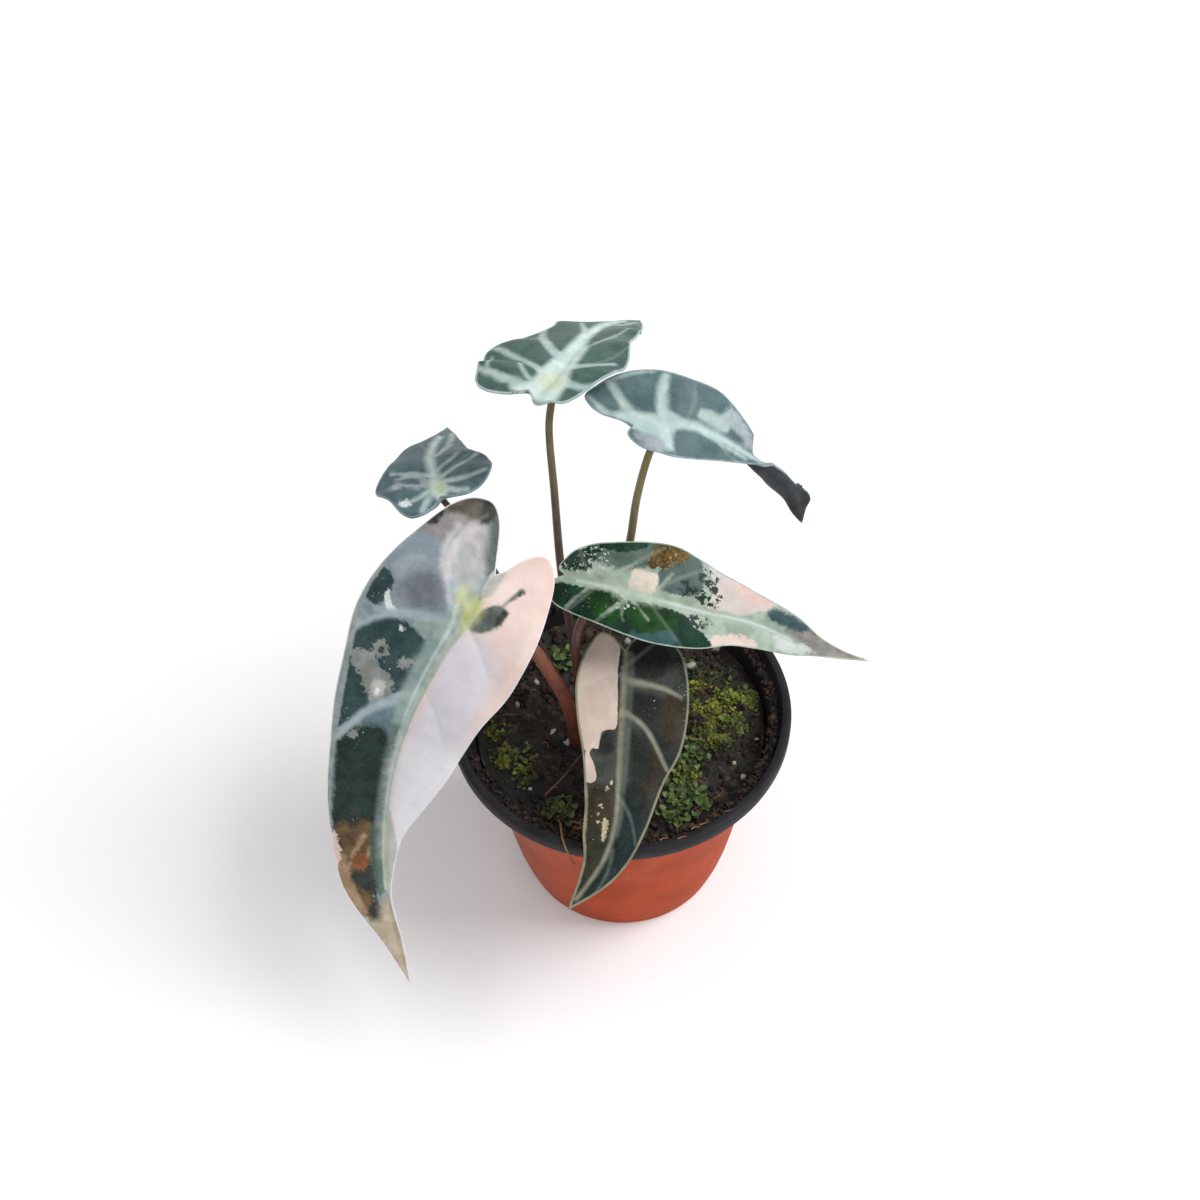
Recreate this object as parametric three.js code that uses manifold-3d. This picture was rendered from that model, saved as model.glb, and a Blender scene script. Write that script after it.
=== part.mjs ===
// A potted arrow-leaved aroid: six variegated leaves on long petioles in a thin tapered pot.
// Millimetres, +Z up. The origin is the centre of the pot's flat underside, -Y is the front.

import * as THREE from 'three';
import { mergeVertices } from 'three/addons/utils/BufferGeometryUtils.js';
import Module from 'manifold-3d';

const wasm = await Module();
wasm.setup();

// Pot
const POT_HEIGHT = 82;
const POT_RIM_RADIUS = 55;
// The outer wall's heights and radii: a full lower body that flares out below the collar.
const POT_WALL_LINE = [
  [0, 35],
  [8, 37.1],
  [16, 38.7],
  [26, 40.2],
  [40, 42],
  [58, 46],
  [77, 50],
];
const COLLAR_HEIGHT = 5;
const COLLAR_WIDTH = 3;
const POT_WALL = 1.2;
const POT_FLOOR = 1.6;
const DRAIN_RADIUS = 3.5;
const DRAIN_CIRCLE_RADIUS = 21;
const DRAIN_COUNT = 6;
const POT_SEGMENTS = 64;

// Soil
const SOIL_LEVEL = 71;
const SOIL_SEGMENTS = 48;
const SOIL_RINGS = 8;
const SEAT_GAP = 0.3;
const FOOT_LEVEL = 62;

// Leaf blades
const BLADE_EDGE_THICKNESS = 0.8;
const MIDRIB_EXTRA_THICKNESS = 0.9;
const MIDRIB_HALF_WIDTH = 2.2;
const BLADE_ROWS = [0, 0.12, 0.35, 0.58, 0.8, 1];
const SPINE_SAMPLES = 840;

// Petioles
const PETIOLE_SIDES = 8;
const PETIOLE_STEP = 6.5;

// Every leaf is drawn flat first. x runs across the blade and y along the midrib, and the
// petiole meets the blade at x = 0, y = 0. Both halves of the outline run from the sinus
// between the basal lobes, round a lobe and up to the tip. The flat blade is then swept along
// a spine in space: facing is the way its upper side looks, and roll turns the blade about
// the spine, one angle in degrees for each point of the spine. tuck, where a leaf has it,
// turns the half with positive x further about the midrib, one angle for each point too.
const LEAVES = [
  {
    name: 'large_left',
    facing: [0.01, -0.65, 0.76],
    spine: [
      [-30.1, 6.2, 150],
      [-41.4, -14.5, 148],
      [-52, -23.3, 136],
      [-63.5, -32.6, 113],
      [-71.8, -43.7, 82],
      [-73.3, -56, 55],
      [-67.7, -73.4, 34],
    ],
    roll: [0, 0, 0, 0, 0, 0, 0],
    fold: 9,
    camber: 0.006,
    ruffle: { height: 0.5, length: 34, phase: 0.6 },
    columns: 34,
    lobeShare: 0.3,
    sinus: [0.6, -13],
    minusSide: [
      [-7.4, -28.8], [-12, -32.4], [-17, -30.6], [-21.4, -25], [-25.2, -13], [-27.4, 2],
      [-27.4, 16], [-23.4, 33], [-21, 48], [-18.9, 65], [-16.4, 84], [-13.8, 100],
      [-10, 109.5], [-5, 120], [-1.5, 132],
    ],
    plusSide: [
      [2.2, -15.5], [5.2, -22.6], [8.2, -26], [11, -26.4], [15.5, -21.8], [19.6, -9],
      [22.8, 6], [23.2, 18], [20.6, 31], [18.6, 45], [16.4, 56], [11, 71], [5.5, 84],
      [2.8, 97], [1.2, 107], [1.7, 121],
    ],
    petiole: {
      foot: [-14.5, -7.5],
      path: [
        [-15.2, -8.2, 87], [-17.6, -8, 98.8], [-21.1, -8, 109.1], [-24.6, -8, 119],
        [-33, -8.6, 134],
      ],
      footRadius: 2.3,
      bulgeRadius: 2.9,
      topRadius: 1.7,
    },
  },
  {
    name: 'small_left',
    facing: [0.01, -0.35, 0.94],
    spine: [
      [-50.7, 18.5, 157],
      [-52.2, 26, 157],
      [-54.3, 37.2, 154],
      [-55.8, 52.1, 147],
      [-54.8, 76, 134],
    ],
    roll: [0, 0, 0, 0, 0],
    fold: 6,
    camber: 0.008,
    ruffle: { height: 0.7, length: 17, phase: 1.2 },
    columns: 24,
    lobeShare: 0.34,
    sinus: [-0.3, -5.6],
    minusSide: [
      [-4.5, -6.6], [-9, -6.2], [-13.2, -3.6], [-16.2, 1], [-17.2, 7], [-16, 13],
      [-12.4, 17.6], [-10.8, 24], [-8, 34], [-4.8, 44], [-1.6, 51.5],
    ],
    plusSide: [
      [1.9, -9], [5.1, -11.2], [9.2, -11.4], [12, -8.6], [14.6, -3.4], [17.4, 0.6],
      [18.5, 6.6], [14.8, 13], [12.4, 20.4], [9.8, 26.6], [5.6, 33], [2.6, 42],
    ],
    petiole: {
      foot: [-15.5, -1.5],
      path: [[-18.5, 1, 88], [-28, 8, 113], [-42, 18.5, 138], [-50.5, 25, 150]],
      footRadius: 1.6,
      bulgeRadius: 1.8,
      topRadius: 1,
    },
  },
  {
    name: 'top_middle',
    facing: [-0.15, -0.29, 0.94],
    spine: [
      [-20.6, 23.6, 192],
      [-16.8, 30.2, 192],
      [-12, 43.5, 189],
      [-7.3, 59.7, 183],
      [-1.7, 76.5, 174],
      [9.3, 96.4, 160],
    ],
    roll: [0, 0, 0, 0, 0, 0],
    fold: 6,
    camber: 0.008,
    ruffle: { height: 1, length: 21, phase: 0 },
    columns: 26,
    lobeShare: 0.36,
    sinus: [-4.4, -7.9],
    minusSide: [
      [-7.2, -6.8], [-9.4, -3], [-12, 2.2], [-15, 7.6], [-16.4, 17], [-14.8, 26],
      [-13.2, 34], [-13.4, 41], [-12.8, 48], [-10.4, 57], [-7.4, 65], [-4.2, 72],
    ],
    plusSide: [
      [-2.4, -9.8], [0.4, -9.4], [2.8, -7.6], [8, -10.8], [13.7, -11.6], [19, -9.4],
      [22, -5.4], [24.4, 7], [26.6, 17], [23.6, 22.5], [23.4, 29.5], [20, 34.6],
      [15.6, 37], [13, 40.4], [13.4, 44.6], [13.2, 47.8], [10.8, 48.8], [7.2, 49.6],
      [3.6, 53.4], [1.5, 60], [1.2, 70],
    ],
    petiole: {
      foot: [-11.2, -1],
      path: [
        [-12.6, 3.6, 92], [-15.3, 11.6, 111], [-17, 16, 130], [-17.8, 22.2, 156.4],
        [-18.3, 27.4, 178],
      ],
      footRadius: 1.6,
      bulgeRadius: 1.75,
      topRadius: 1.1,
    },
  },
  {
    name: 'top_right',
    facing: [0.01, -0.52, 0.85],
    spine: [
      [7.4, 26.8, 178],
      [14.5, 27.4, 178],
      [24.5, 28.2, 175],
      [38.8, 31.2, 162.6],
      [43, 32.6, 157.4],
      [46.6, 34.2, 153],
      [54, 38, 139.6],
      [59, 41, 122],
    ],
    roll: [0, 0, 0, 0, -40, -120, -150, -160],
    tuck: [0, 0, 0, 0, -80, -30, 0, 0],
    fold: 8,
    camber: 0.01,
    ruffle: { height: 0.7, length: 26, phase: 2.4 },
    columns: 54,
    lobeShare: 0.34,
    sinus: [-0.2, -9.4],
    minusSide: [
      [-2.4, -11], [-5, -9.6], [-7.6, -6.4], [-9.4, -1.6], [-10.2, 5], [-9.4, 12],
      [-7.2, 20], [-5, 27], [-3.4, 32], [-2, 36.6], [-1.4, 42], [-1.8, 49], [-1.8, 54],
      [-2.4, 58.6], [-4.4, 63], [-4.6, 66.6], [-2.8, 70], [-1.2, 74],
    ],
    plusSide: [
      [1.4, -12.4], [3.8, -18], [6.4, -20.8], [9.6, -22], [12.6, -18], [14.6, -13.6],
      [15.8, -6], [15.2, 1], [13.6, 7], [12, 14], [9.8, 20], [7.4, 26], [5.2, 31],
      [4.2, 36], [4.4, 42], [4.8, 49], [4.2, 56], [3.2, 63], [2.2, 70],
    ],
    petiole: {
      foot: [-7, -2.2],
      path: [[-5.6, 4.4, 97], [-1, 11.6, 120], [4, 17.6, 139], [6.3, 21.4, 154], [10, 25.2, 168]],
      footRadius: 1.6,
      bulgeRadius: 1.7,
      topRadius: 1.15,
    },
  },
  {
    name: 'right',
    facing: [0.01, -0.56, 0.83],
    spine: [
      [-12.3, 3.7, 140],
      [-3.6, 0.7, 140],
      [9.4, -2.9, 138],
      [24, -4.3, 133],
      [41.4, -3.6, 125],
      [57.3, -6.4, 117],
      [76.6, -3.6, 106],
    ],
    roll: [0, 0, 0, 0, 0, 0, 0],
    fold: 8,
    camber: 0.008,
    ruffle: { height: 0.8, length: 22, phase: 0.9 },
    columns: 30,
    lobeShare: 0.3,
    sinus: [-0.3, -12.4],
    minusSide: [
      [-2.8, -15.6], [-6, -16.4], [-9.2, -13.4], [-10.8, -8], [-12, 0.5], [-12.9, 9.6],
      [-13.1, 19], [-11.6, 30], [-8.6, 40], [-7.3, 50], [-5, 60], [-2.4, 68], [-1.2, 78],
    ],
    plusSide: [
      [1.2, -14.6], [4, -13.6], [7.2, -11.4], [10, -7], [12.2, -0.6], [15, 7.8],
      [16, 16.6], [14.2, 26.4], [11, 37.4], [8.2, 48], [6.6, 60], [3.2, 71], [1.2, 80],
    ],
    petiole: {
      foot: [-9.2, -7.5],
      path: [[-10.4, -5.8, 87], [-12.6, -4.6, 102], [-11.6, -2.4, 124]],
      footRadius: 1.6,
      bulgeRadius: 1.9,
      topRadius: 1.3,
    },
  },
  {
    name: 'front',
    facing: [0.01, -0.65, 0.76],
    spine: [
      [1.6, -1.3, 116],
      [1.4, -10.5, 114],
      [0.5, -20.6, 106],
      [-0.7, -34.6, 97],
      [-2, -49.2, 90],
      [-5.8, -58.6, 83],
      [-16.6, -69.2, 74],
    ],
    roll: [0, 0, 0, 0, 0, 0, 0],
    fold: 8,
    camber: 0.008,
    ruffle: { height: 0.6, length: 25, phase: 0.4 },
    columns: 26,
    lobeShare: 0.26,
    sinus: [0.4, -6],
    minusSide: [
      [-3.4, -10.6], [-7, -11.8], [-10.6, -7.4], [-13, -1.4], [-14.2, 5], [-13.4, 15],
      [-10.8, 28], [-9.8, 40], [-8.8, 52], [-5.6, 61], [-2.6, 69],
    ],
    plusSide: [
      [2.4, -8.8], [5.4, -11], [9.6, -11.2], [14, -9.2], [17, -5], [19.4, 3],
      [20, 13], [18.2, 24], [13.4, 34.5], [10, 44], [7.2, 54], [3.4, 67],
    ],
    petiole: {
      foot: [-4.8, -6.5],
      path: [[-3.6, -5, 87], [-0.6, -6.4, 101]],
      footRadius: 1.6,
      bulgeRadius: 1.7,
      topRadius: 1.2,
    },
  },
];

// Colours
const TERRACOTTA = { color: 0xb4532f, roughness: 0.55, metalness: 0 };
const DARK_SOIL = { color: 0x2a211b, roughness: 0.95, metalness: 0 };
const BLADE_GREEN = { color: 0x47675c, roughness: 0.5, metalness: 0 };
const PETIOLE_RED = { color: 0x7a4636, roughness: 0.6, metalness: 0 };

/** Welds equal corners and drops the triangles that this leaves without an area. */
function weld(geometry) {
  geometry.deleteAttribute('normal');
  geometry.deleteAttribute('uv');
  const merged = mergeVertices(geometry, 1e-4);
  const source = merged.index.array;
  const kept = [];
  for (let i = 0; i < source.length; i += 3) {
    const [a, b, c] = [source[i], source[i + 1], source[i + 2]];
    if (a !== b && b !== c && c !== a) kept.push(a, b, c);
  }
  merged.setIndex(kept);
  return merged;
}

/** Gives the solid of a closed geometry, for cutting. */
function toSolid(geometry) {
  const welded = weld(geometry);
  return new wasm.Manifold(new wasm.Mesh({
    numProp: 3,
    vertProperties: new Float32Array(welded.attributes.position.array),
    triVerts: new Uint32Array(welded.index.array),
  }));
}

/** Gives the geometry of a solid. */
function toGeometry(solid) {
  const mesh = solid.getMesh();
  const geometry = new THREE.BufferGeometry();
  const corners = new THREE.BufferAttribute(new Float32Array(mesh.vertProperties), 3);
  geometry.setAttribute('position', corners);
  geometry.setIndex([...mesh.triVerts]);
  geometry.computeVertexNormals();
  return geometry;
}

/** Makes a geometry from a list of points and a list of corner numbers. */
function fromTriangles(points, corners) {
  const geometry = new THREE.BufferGeometry().setFromPoints(points);
  geometry.setIndex(corners);
  geometry.computeVertexNormals();
  return geometry;
}

/** A vertical round rod between two heights. */
function rod(x, y, bottom, top, radius, sides) {
  const geometry = new THREE.CylinderGeometry(radius, radius, top - bottom, sides);
  geometry.rotateX(Math.PI / 2);
  geometry.translate(x, y, (bottom + top) / 2);
  return geometry;
}

/** Outer radius of the pot's wall at a height. */
function wallRadius(z) {
  const next = Math.max(POT_WALL_LINE.findIndex(([height]) => height >= z), 1);
  const [low, lowRadius] = POT_WALL_LINE[next - 1];
  const [high, highRadius] = POT_WALL_LINE[next];
  return lowRadius + ((highRadius - lowRadius) * (z - low)) / (high - low);
}

/** Heights between the foot and the collar where the wall's slope changes. */
function wallBends() {
  return POT_WALL_LINE.slice(1, -1).map(([height]) => height);
}

/** The pot: a tapered wall, a thick collar at the rim and drain holes round a solid centre. */
function buildPot() {
  const collarFoot = POT_HEIGHT - COLLAR_HEIGHT;
  const inner = POT_RIM_RADIUS - COLLAR_WIDTH;
  const profile = [
    [0, 0],
    [wallRadius(0) - 1, 0],
    [wallRadius(1), 1],
    ...wallBends().map((z) => [wallRadius(z), z]),
    [wallRadius(collarFoot), collarFoot],
    [POT_RIM_RADIUS - 0.6, collarFoot],
    [POT_RIM_RADIUS, collarFoot + 0.7],
    [POT_RIM_RADIUS, POT_HEIGHT - 0.9],
    [POT_RIM_RADIUS - 0.8, POT_HEIGHT],
    [inner + 0.7, POT_HEIGHT],
    [inner, POT_HEIGHT - 0.7],
    [inner - 0.4, collarFoot + POT_WALL + 0.4],
    [wallRadius(collarFoot) - POT_WALL, collarFoot + POT_WALL],
    ...wallBends().reverse().map((z) => [wallRadius(z) - POT_WALL, z]),
    [wallRadius(POT_FLOOR + 1.4) - POT_WALL, POT_FLOOR + 1.4],
    [wallRadius(POT_FLOOR) - POT_WALL - 1.4, POT_FLOOR],
    [0, POT_FLOOR],
  ];
  const shell = new THREE.LatheGeometry(profile.map(([r, z]) => new THREE.Vector2(r, z)), POT_SEGMENTS);
  shell.rotateX(Math.PI / 2);
  let solid = toSolid(shell);
  for (let i = 0; i < DRAIN_COUNT; i += 1) {
    const angle = (2 * Math.PI * i) / DRAIN_COUNT;
    const x = DRAIN_CIRCLE_RADIUS * Math.cos(angle);
    const y = DRAIN_CIRCLE_RADIUS * Math.sin(angle);
    solid = solid.subtract(toSolid(rod(x, y, -1, POT_FLOOR + 1, DRAIN_RADIUS, 16)));
  }
  return toGeometry(solid);
}

/** Height of the crumbly soil surface, with low mounds where moss grows. */
function soilHeight(x, y) {
  const coarse = 0.7 * Math.sin(x * 0.31 + 0.6) * Math.cos(y * 0.27 - 0.4);
  const fine = 0.45 * Math.sin(x * 0.61 + y * 0.53);
  const rightMound = 2.2 * Math.exp(-((x - 33) ** 2 + (y - 4) ** 2) / 260);
  const leftMound = 1.4 * Math.exp(-((x + 31) ** 2 + (y + 10) ** 2) / 160);
  const stemMound = 1.2 * Math.exp(-((x + 10) ** 2 + (y + 4) ** 2) / 120);
  return SOIL_LEVEL + coarse + fine + rightMound + leftMound + stemMound;
}

/** The soil that fills the pot, with one plain round hole for each petiole. */
function buildSoil() {
  const points = [new THREE.Vector3(0, 0, soilHeight(0, 0))];
  const addRing = (place) => {
    for (let i = 0; i < SOIL_SEGMENTS; i += 1) {
      const angle = (2 * Math.PI * i) / SOIL_SEGMENTS;
      points.push(place(Math.cos(angle), Math.sin(angle)));
    }
  };
  const surfaceRadius = wallRadius(SOIL_LEVEL) - POT_WALL - SEAT_GAP;
  for (let ring = 1; ring < SOIL_RINGS; ring += 1) {
    const radius = (surfaceRadius * ring) / SOIL_RINGS;
    addRing((c, s) => new THREE.Vector3(radius * c, radius * s, soilHeight(radius * c, radius * s)));
  }
  addRing((c, s) => {
    const z = soilHeight(surfaceRadius * c, surfaceRadius * s);
    const radius = wallRadius(z) - POT_WALL - SEAT_GAP;
    return new THREE.Vector3(radius * c, radius * s, z);
  });
  const besideWall = wallBends().reverse().concat(POT_FLOOR + 1.7);
  for (const z of besideWall) {
    const radius = wallRadius(z) - POT_WALL - SEAT_GAP;
    addRing((c, s) => new THREE.Vector3(radius * c, radius * s, z));
  }
  const floorRadius = wallRadius(POT_FLOOR) - POT_WALL - 1.8;
  const floorLevel = POT_FLOOR + SEAT_GAP;
  addRing((c, s) => new THREE.Vector3(floorRadius * c, floorRadius * s, floorLevel));
  points.push(new THREE.Vector3(0, 0, floorLevel));

  const corners = [];
  const rings = SOIL_RINGS + besideWall.length + 1;
  const last = points.length - 1;
  for (let i = 0; i < SOIL_SEGMENTS; i += 1) {
    const next = (i + 1) % SOIL_SEGMENTS;
    corners.push(0, 1 + i, 1 + next);
    for (let ring = 0; ring < rings - 1; ring += 1) {
      const a = 1 + ring * SOIL_SEGMENTS;
      const b = a + SOIL_SEGMENTS;
      corners.push(a + i, b + i, b + next, a + i, b + next, a + next);
    }
    const lowest = 1 + (rings - 1) * SOIL_SEGMENTS;
    corners.push(last, lowest + next, lowest + i);
  }
  let solid = toSolid(fromTriangles(points, corners));
  for (const { petiole } of LEAVES) {
    const [x, y] = petiole.foot;
    const hole = rod(x, y, FOOT_LEVEL - SEAT_GAP, POT_HEIGHT, petiole.footRadius + SEAT_GAP, 12);
    solid = solid.subtract(toSolid(hole));
  }
  return toGeometry(solid);
}

/** The curved surface that one leaf's flat outline is laid on. */
class LeafSurface {
  constructor(leaf) {
    this.leaf = leaf;
    const spine = leaf.spine.map((p) => new THREE.Vector3(...p));
    this.curve = new THREE.CatmullRomCurve3(spine, false, 'centripetal');
    this.curve.arcLengthDivisions = SPINE_SAMPLES;
    const lengths = this.curve.getLengths();
    this.start = -lengths[SPINE_SAMPLES / (leaf.spine.length - 1)];
    this.length = lengths[SPINE_SAMPLES] + this.start;
  }

  /** Position and directions of the spine at y, and the bend of the half with positive x. */
  frame(y) {
    const inside = THREE.MathUtils.clamp(y, this.start, this.length);
    const t = this.curve.getUtoTmapping(0, inside - this.start);
    const tangent = this.curve.getTangent(t);
    const centre = this.curve.getPoint(t).addScaledVector(tangent, y - inside);
    const station = t * (this.leaf.spine.length - 1);
    const before = Math.min(Math.floor(station), this.leaf.spine.length - 2);
    const share = THREE.MathUtils.smoothstep(station - before, 0, 1);
    const angle = (list) => THREE.MathUtils.degToRad(
      THREE.MathUtils.lerp(list[before], list[before + 1], share),
    );
    const up = new THREE.Vector3(...this.leaf.facing);
    up.addScaledVector(tangent, -up.dot(tangent)).normalize();
    up.applyAxisAngle(tangent, angle(this.leaf.roll));
    const across = new THREE.Vector3().crossVectors(up, tangent);
    return { centre, tangent, up, across, bend: this.leaf.tuck ? angle(this.leaf.tuck) : 0 };
  }

  /** Point of the upper face above the flat point x, y. */
  point(x, y) {
    const { fold, camber, ruffle } = this.leaf;
    const { centre, tangent, up, across, bend } = this.frame(y);
    if (x > 0) {
      up.applyAxisAngle(tangent, bend);
      across.applyAxisAngle(tangent, bend);
    }
    const reach = Math.abs(x);
    const wave = Math.sin((2 * Math.PI * y) / ruffle.length + ruffle.phase + (x > 0 ? 1.3 : 0));
    const height = reach * Math.tan(THREE.MathUtils.degToRad(fold)) - camber * reach ** 2
      + ruffle.height * Math.min(reach / 15, 1.2) ** 2 * wave;
    return centre.addScaledVector(across, x).addScaledVector(up, height);
  }

  /** Direction that the upper face looks in at x, y. */
  normal(x, y) {
    const step = 0.2;
    const alongX = this.point(x + step, y).sub(this.point(x - step, y));
    const alongY = this.point(x, y + step).sub(this.point(x, y - step));
    return alongY.cross(alongX).normalize();
  }

  /** Point of the lower face under x, y: the blade is thickest along the midrib. */
  lowerPoint(x, y) {
    const rib = MIDRIB_EXTRA_THICKNESS * Math.exp(-((x / MIDRIB_HALF_WIDTH) ** 2));
    return this.point(x, y).addScaledVector(this.normal(x, y), -BLADE_EDGE_THICKNESS - rib);
  }
}

/** Flat points of one half of a leaf: rows from the midrib out to the outline. */
function halfGrid(leaf, length, side) {
  const corner = ([x, y]) => new THREE.Vector3(x, y, 0);
  const knots = [leaf.sinus, ...side, [0, length]].map(corner);
  const outline = new THREE.CatmullRomCurve3(knots, false, 'centripetal');
  const sinus = corner(leaf.sinus);
  const junction = new THREE.Vector3();
  const grid = [];
  for (let column = 1; column < leaf.columns; column += 1) {
    const share = column / leaf.columns;
    const edge = outline.getPointAt(share);
    const along = (share - leaf.lobeShare) / (1 - leaf.lobeShare);
    const rib = share < leaf.lobeShare
      ? sinus.clone().lerp(junction, share / leaf.lobeShare)
      : new THREE.Vector3(0, length * along ** 1.15, 0);
    grid.push(BLADE_ROWS.map((row) => rib.clone().lerp(edge, row)));
  }
  return grid;
}

/** A leaf blade: upper and lower faces split alike, closed by a thin wall round the outline. */
function buildBlade(leaf, surface) {
  const flat = [new THREE.Vector3(...leaf.sinus, 0), new THREE.Vector3(0, surface.length, 0)];
  const sinus = 0;
  const tip = 1;
  const rowCount = BLADE_ROWS.length - 1;
  const halves = [leaf.minusSide, leaf.plusSide].map((side) => halfGrid(leaf, surface.length, side));
  const firstRib = flat.length;
  for (const columnPoints of halves[0]) flat.push(columnPoints[0]);
  const starts = halves.map((grid) => {
    const start = flat.length;
    for (const columnPoints of grid) flat.push(...columnPoints.slice(1));
    return start;
  });
  const number = (half, column, row) => {
    if (column === 0) return sinus;
    if (column === leaf.columns) return tip;
    return row === 0 ? firstRib + column - 1 : starts[half] + (column - 1) * rowCount + row - 1;
  };

  const upper = [];
  for (let half = 0; half < 2; half += 1) {
    const order = half === 1 ? (a, b, c) => [a, b, c] : (a, b, c) => [c, b, a];
    for (let column = 0; column < leaf.columns; column += 1) {
      for (let row = 0; row < rowCount; row += 1) {
        const a = number(half, column, row);
        const b = number(half, column + 1, row);
        const c = number(half, column + 1, row + 1);
        const d = number(half, column, row + 1);
        if (b !== c) upper.push(...order(a, b, c));
        if (a !== d) upper.push(...order(a, c, d));
      }
    }
  }
  const count = flat.length;
  const corners = [...upper];
  for (let i = 0; i < upper.length; i += 3) {
    corners.push(upper[i + 2] + count, upper[i + 1] + count, upper[i] + count);
  }
  for (let half = 0; half < 2; half += 1) {
    for (let column = 0; column < leaf.columns; column += 1) {
      const ends = [number(half, column, rowCount), number(half, column + 1, rowCount)];
      const [a, b] = half === 1 ? ends : [ends[1], ends[0]];
      corners.push(a, b, b + count, a, b + count, a + count);
    }
  }
  const points = flat.map(({ x, y }) => surface.point(x, y));
  points.push(...flat.map(({ x, y }) => surface.lowerPoint(x, y)));
  return fromTriangles(points, corners);
}

/** A round petiole from its foot in the soil to the underside of the blade. */
function buildPetiole(petiole, surface) {
  const [x, y] = petiole.foot;
  const normal = surface.normal(0, 0);
  const end = surface.lowerPoint(0, 0).addScaledVector(normal, -SEAT_GAP);
  const curve = new THREE.CatmullRomCurve3([
    new THREE.Vector3(x, y, FOOT_LEVEL),
    new THREE.Vector3(x, y, SOIL_LEVEL + 3),
    ...petiole.path.map((p) => new THREE.Vector3(...p)),
    end.clone().addScaledVector(normal, -3.5),
    end,
  ], false, 'centripetal');
  const steps = Math.round(curve.getLength() / PETIOLE_STEP);
  const frames = curve.computeFrenetFrames(steps, false);
  const points = [curve.getPointAt(0)];
  for (let i = 0; i <= steps; i += 1) {
    const share = i / steps;
    const centre = curve.getPointAt(share);
    const sheath = THREE.MathUtils.smoothstep(centre.z, SOIL_LEVEL - 1, SOIL_LEVEL + 7);
    const thinning = Math.min(share * 1.15, 1) ** 0.8;
    const taper = THREE.MathUtils.lerp(petiole.bulgeRadius, petiole.topRadius, thinning);
    const radius = THREE.MathUtils.lerp(petiole.footRadius, taper, sheath);
    for (let k = 0; k < PETIOLE_SIDES; k += 1) {
      const angle = (2 * Math.PI * k) / PETIOLE_SIDES;
      points.push(centre.clone()
        .addScaledVector(frames.normals[i], radius * Math.cos(angle))
        .addScaledVector(frames.binormals[i], radius * Math.sin(angle)));
    }
  }
  points.push(curve.getPointAt(1));
  const corners = [];
  const last = points.length - 1;
  for (let k = 0; k < PETIOLE_SIDES; k += 1) {
    const next = (k + 1) % PETIOLE_SIDES;
    corners.push(0, 1 + next, 1 + k);
    for (let i = 0; i < steps; i += 1) {
      const a = 1 + i * PETIOLE_SIDES;
      const b = a + PETIOLE_SIDES;
      corners.push(a + k, a + next, b + next, a + k, b + next, b + k);
    }
    const top = 1 + steps * PETIOLE_SIDES;
    corners.push(last, top + k, top + next);
  }
  return fromTriangles(points, corners);
}

const plant = new THREE.Group();

/** Adds one named piece to the plant. */
function addPiece(name, geometry, finish) {
  const mesh = new THREE.Mesh(geometry, new THREE.MeshStandardMaterial(finish));
  mesh.name = name;
  plant.add(mesh);
}

addPiece('pot', buildPot(), TERRACOTTA);
addPiece('potting_soil', buildSoil(), DARK_SOIL);
for (const leaf of LEAVES) {
  const surface = new LeafSurface(leaf);
  addPiece(`petiole_${leaf.name}`, buildPetiole(leaf.petiole, surface), PETIOLE_RED);
  addPiece(`leaf_${leaf.name}`, buildBlade(leaf, surface), BLADE_GREEN);
}

export default plant;
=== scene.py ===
"""A potted arrow-leaved aroid with six variegated leaves, dressed for rendering.

The CAD nodes are the fixed frame. Every visible piece below stands for one of them or
lies on one of them, and is modelled in metres in the frame's own axes: +Z up, -Y front.
"""

import logging
import math
import random
from dataclasses import dataclass, field
from enum import Enum
from functools import cache, partial
from typing import Any, Callable

import bpy
import numpy as np
from mathutils import Euler, Matrix, Vector, noise


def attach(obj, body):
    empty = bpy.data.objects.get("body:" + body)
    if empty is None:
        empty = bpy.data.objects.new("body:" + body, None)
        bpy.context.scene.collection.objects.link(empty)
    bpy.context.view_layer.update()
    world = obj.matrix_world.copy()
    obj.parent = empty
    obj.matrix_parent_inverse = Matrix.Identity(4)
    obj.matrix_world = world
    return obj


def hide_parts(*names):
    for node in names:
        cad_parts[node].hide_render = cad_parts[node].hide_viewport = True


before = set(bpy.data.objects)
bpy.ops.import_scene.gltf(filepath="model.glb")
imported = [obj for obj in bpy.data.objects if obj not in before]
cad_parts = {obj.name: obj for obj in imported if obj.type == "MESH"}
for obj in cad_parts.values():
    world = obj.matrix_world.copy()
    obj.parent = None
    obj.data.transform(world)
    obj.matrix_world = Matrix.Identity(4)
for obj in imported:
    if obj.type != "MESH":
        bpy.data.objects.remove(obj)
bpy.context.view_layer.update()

log = logging.getLogger("plant")

MM = 0.001
POT_HEIGHT = 82.0
FOOT_LEVEL = 62.0
SOIL_LEVEL = 71.0
FULL_TURN = 2 * math.pi

Piece = bpy.types.Object
Mesh = bpy.types.Mesh
Material = bpy.types.Material
Socket = bpy.types.NodeSocket
Adder = Callable[..., Socket]
Spot = tuple[float, float, float]
# Flat points, x and y in turn.
Row = tuple[float, ...]
# A tube's points and radii.
Line = tuple[np.ndarray, np.ndarray]

# Sockets of a Mix node that mixes colours.
FACTOR, FIRST, SECOND, RESULT = 0, 6, 7, 2


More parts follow.
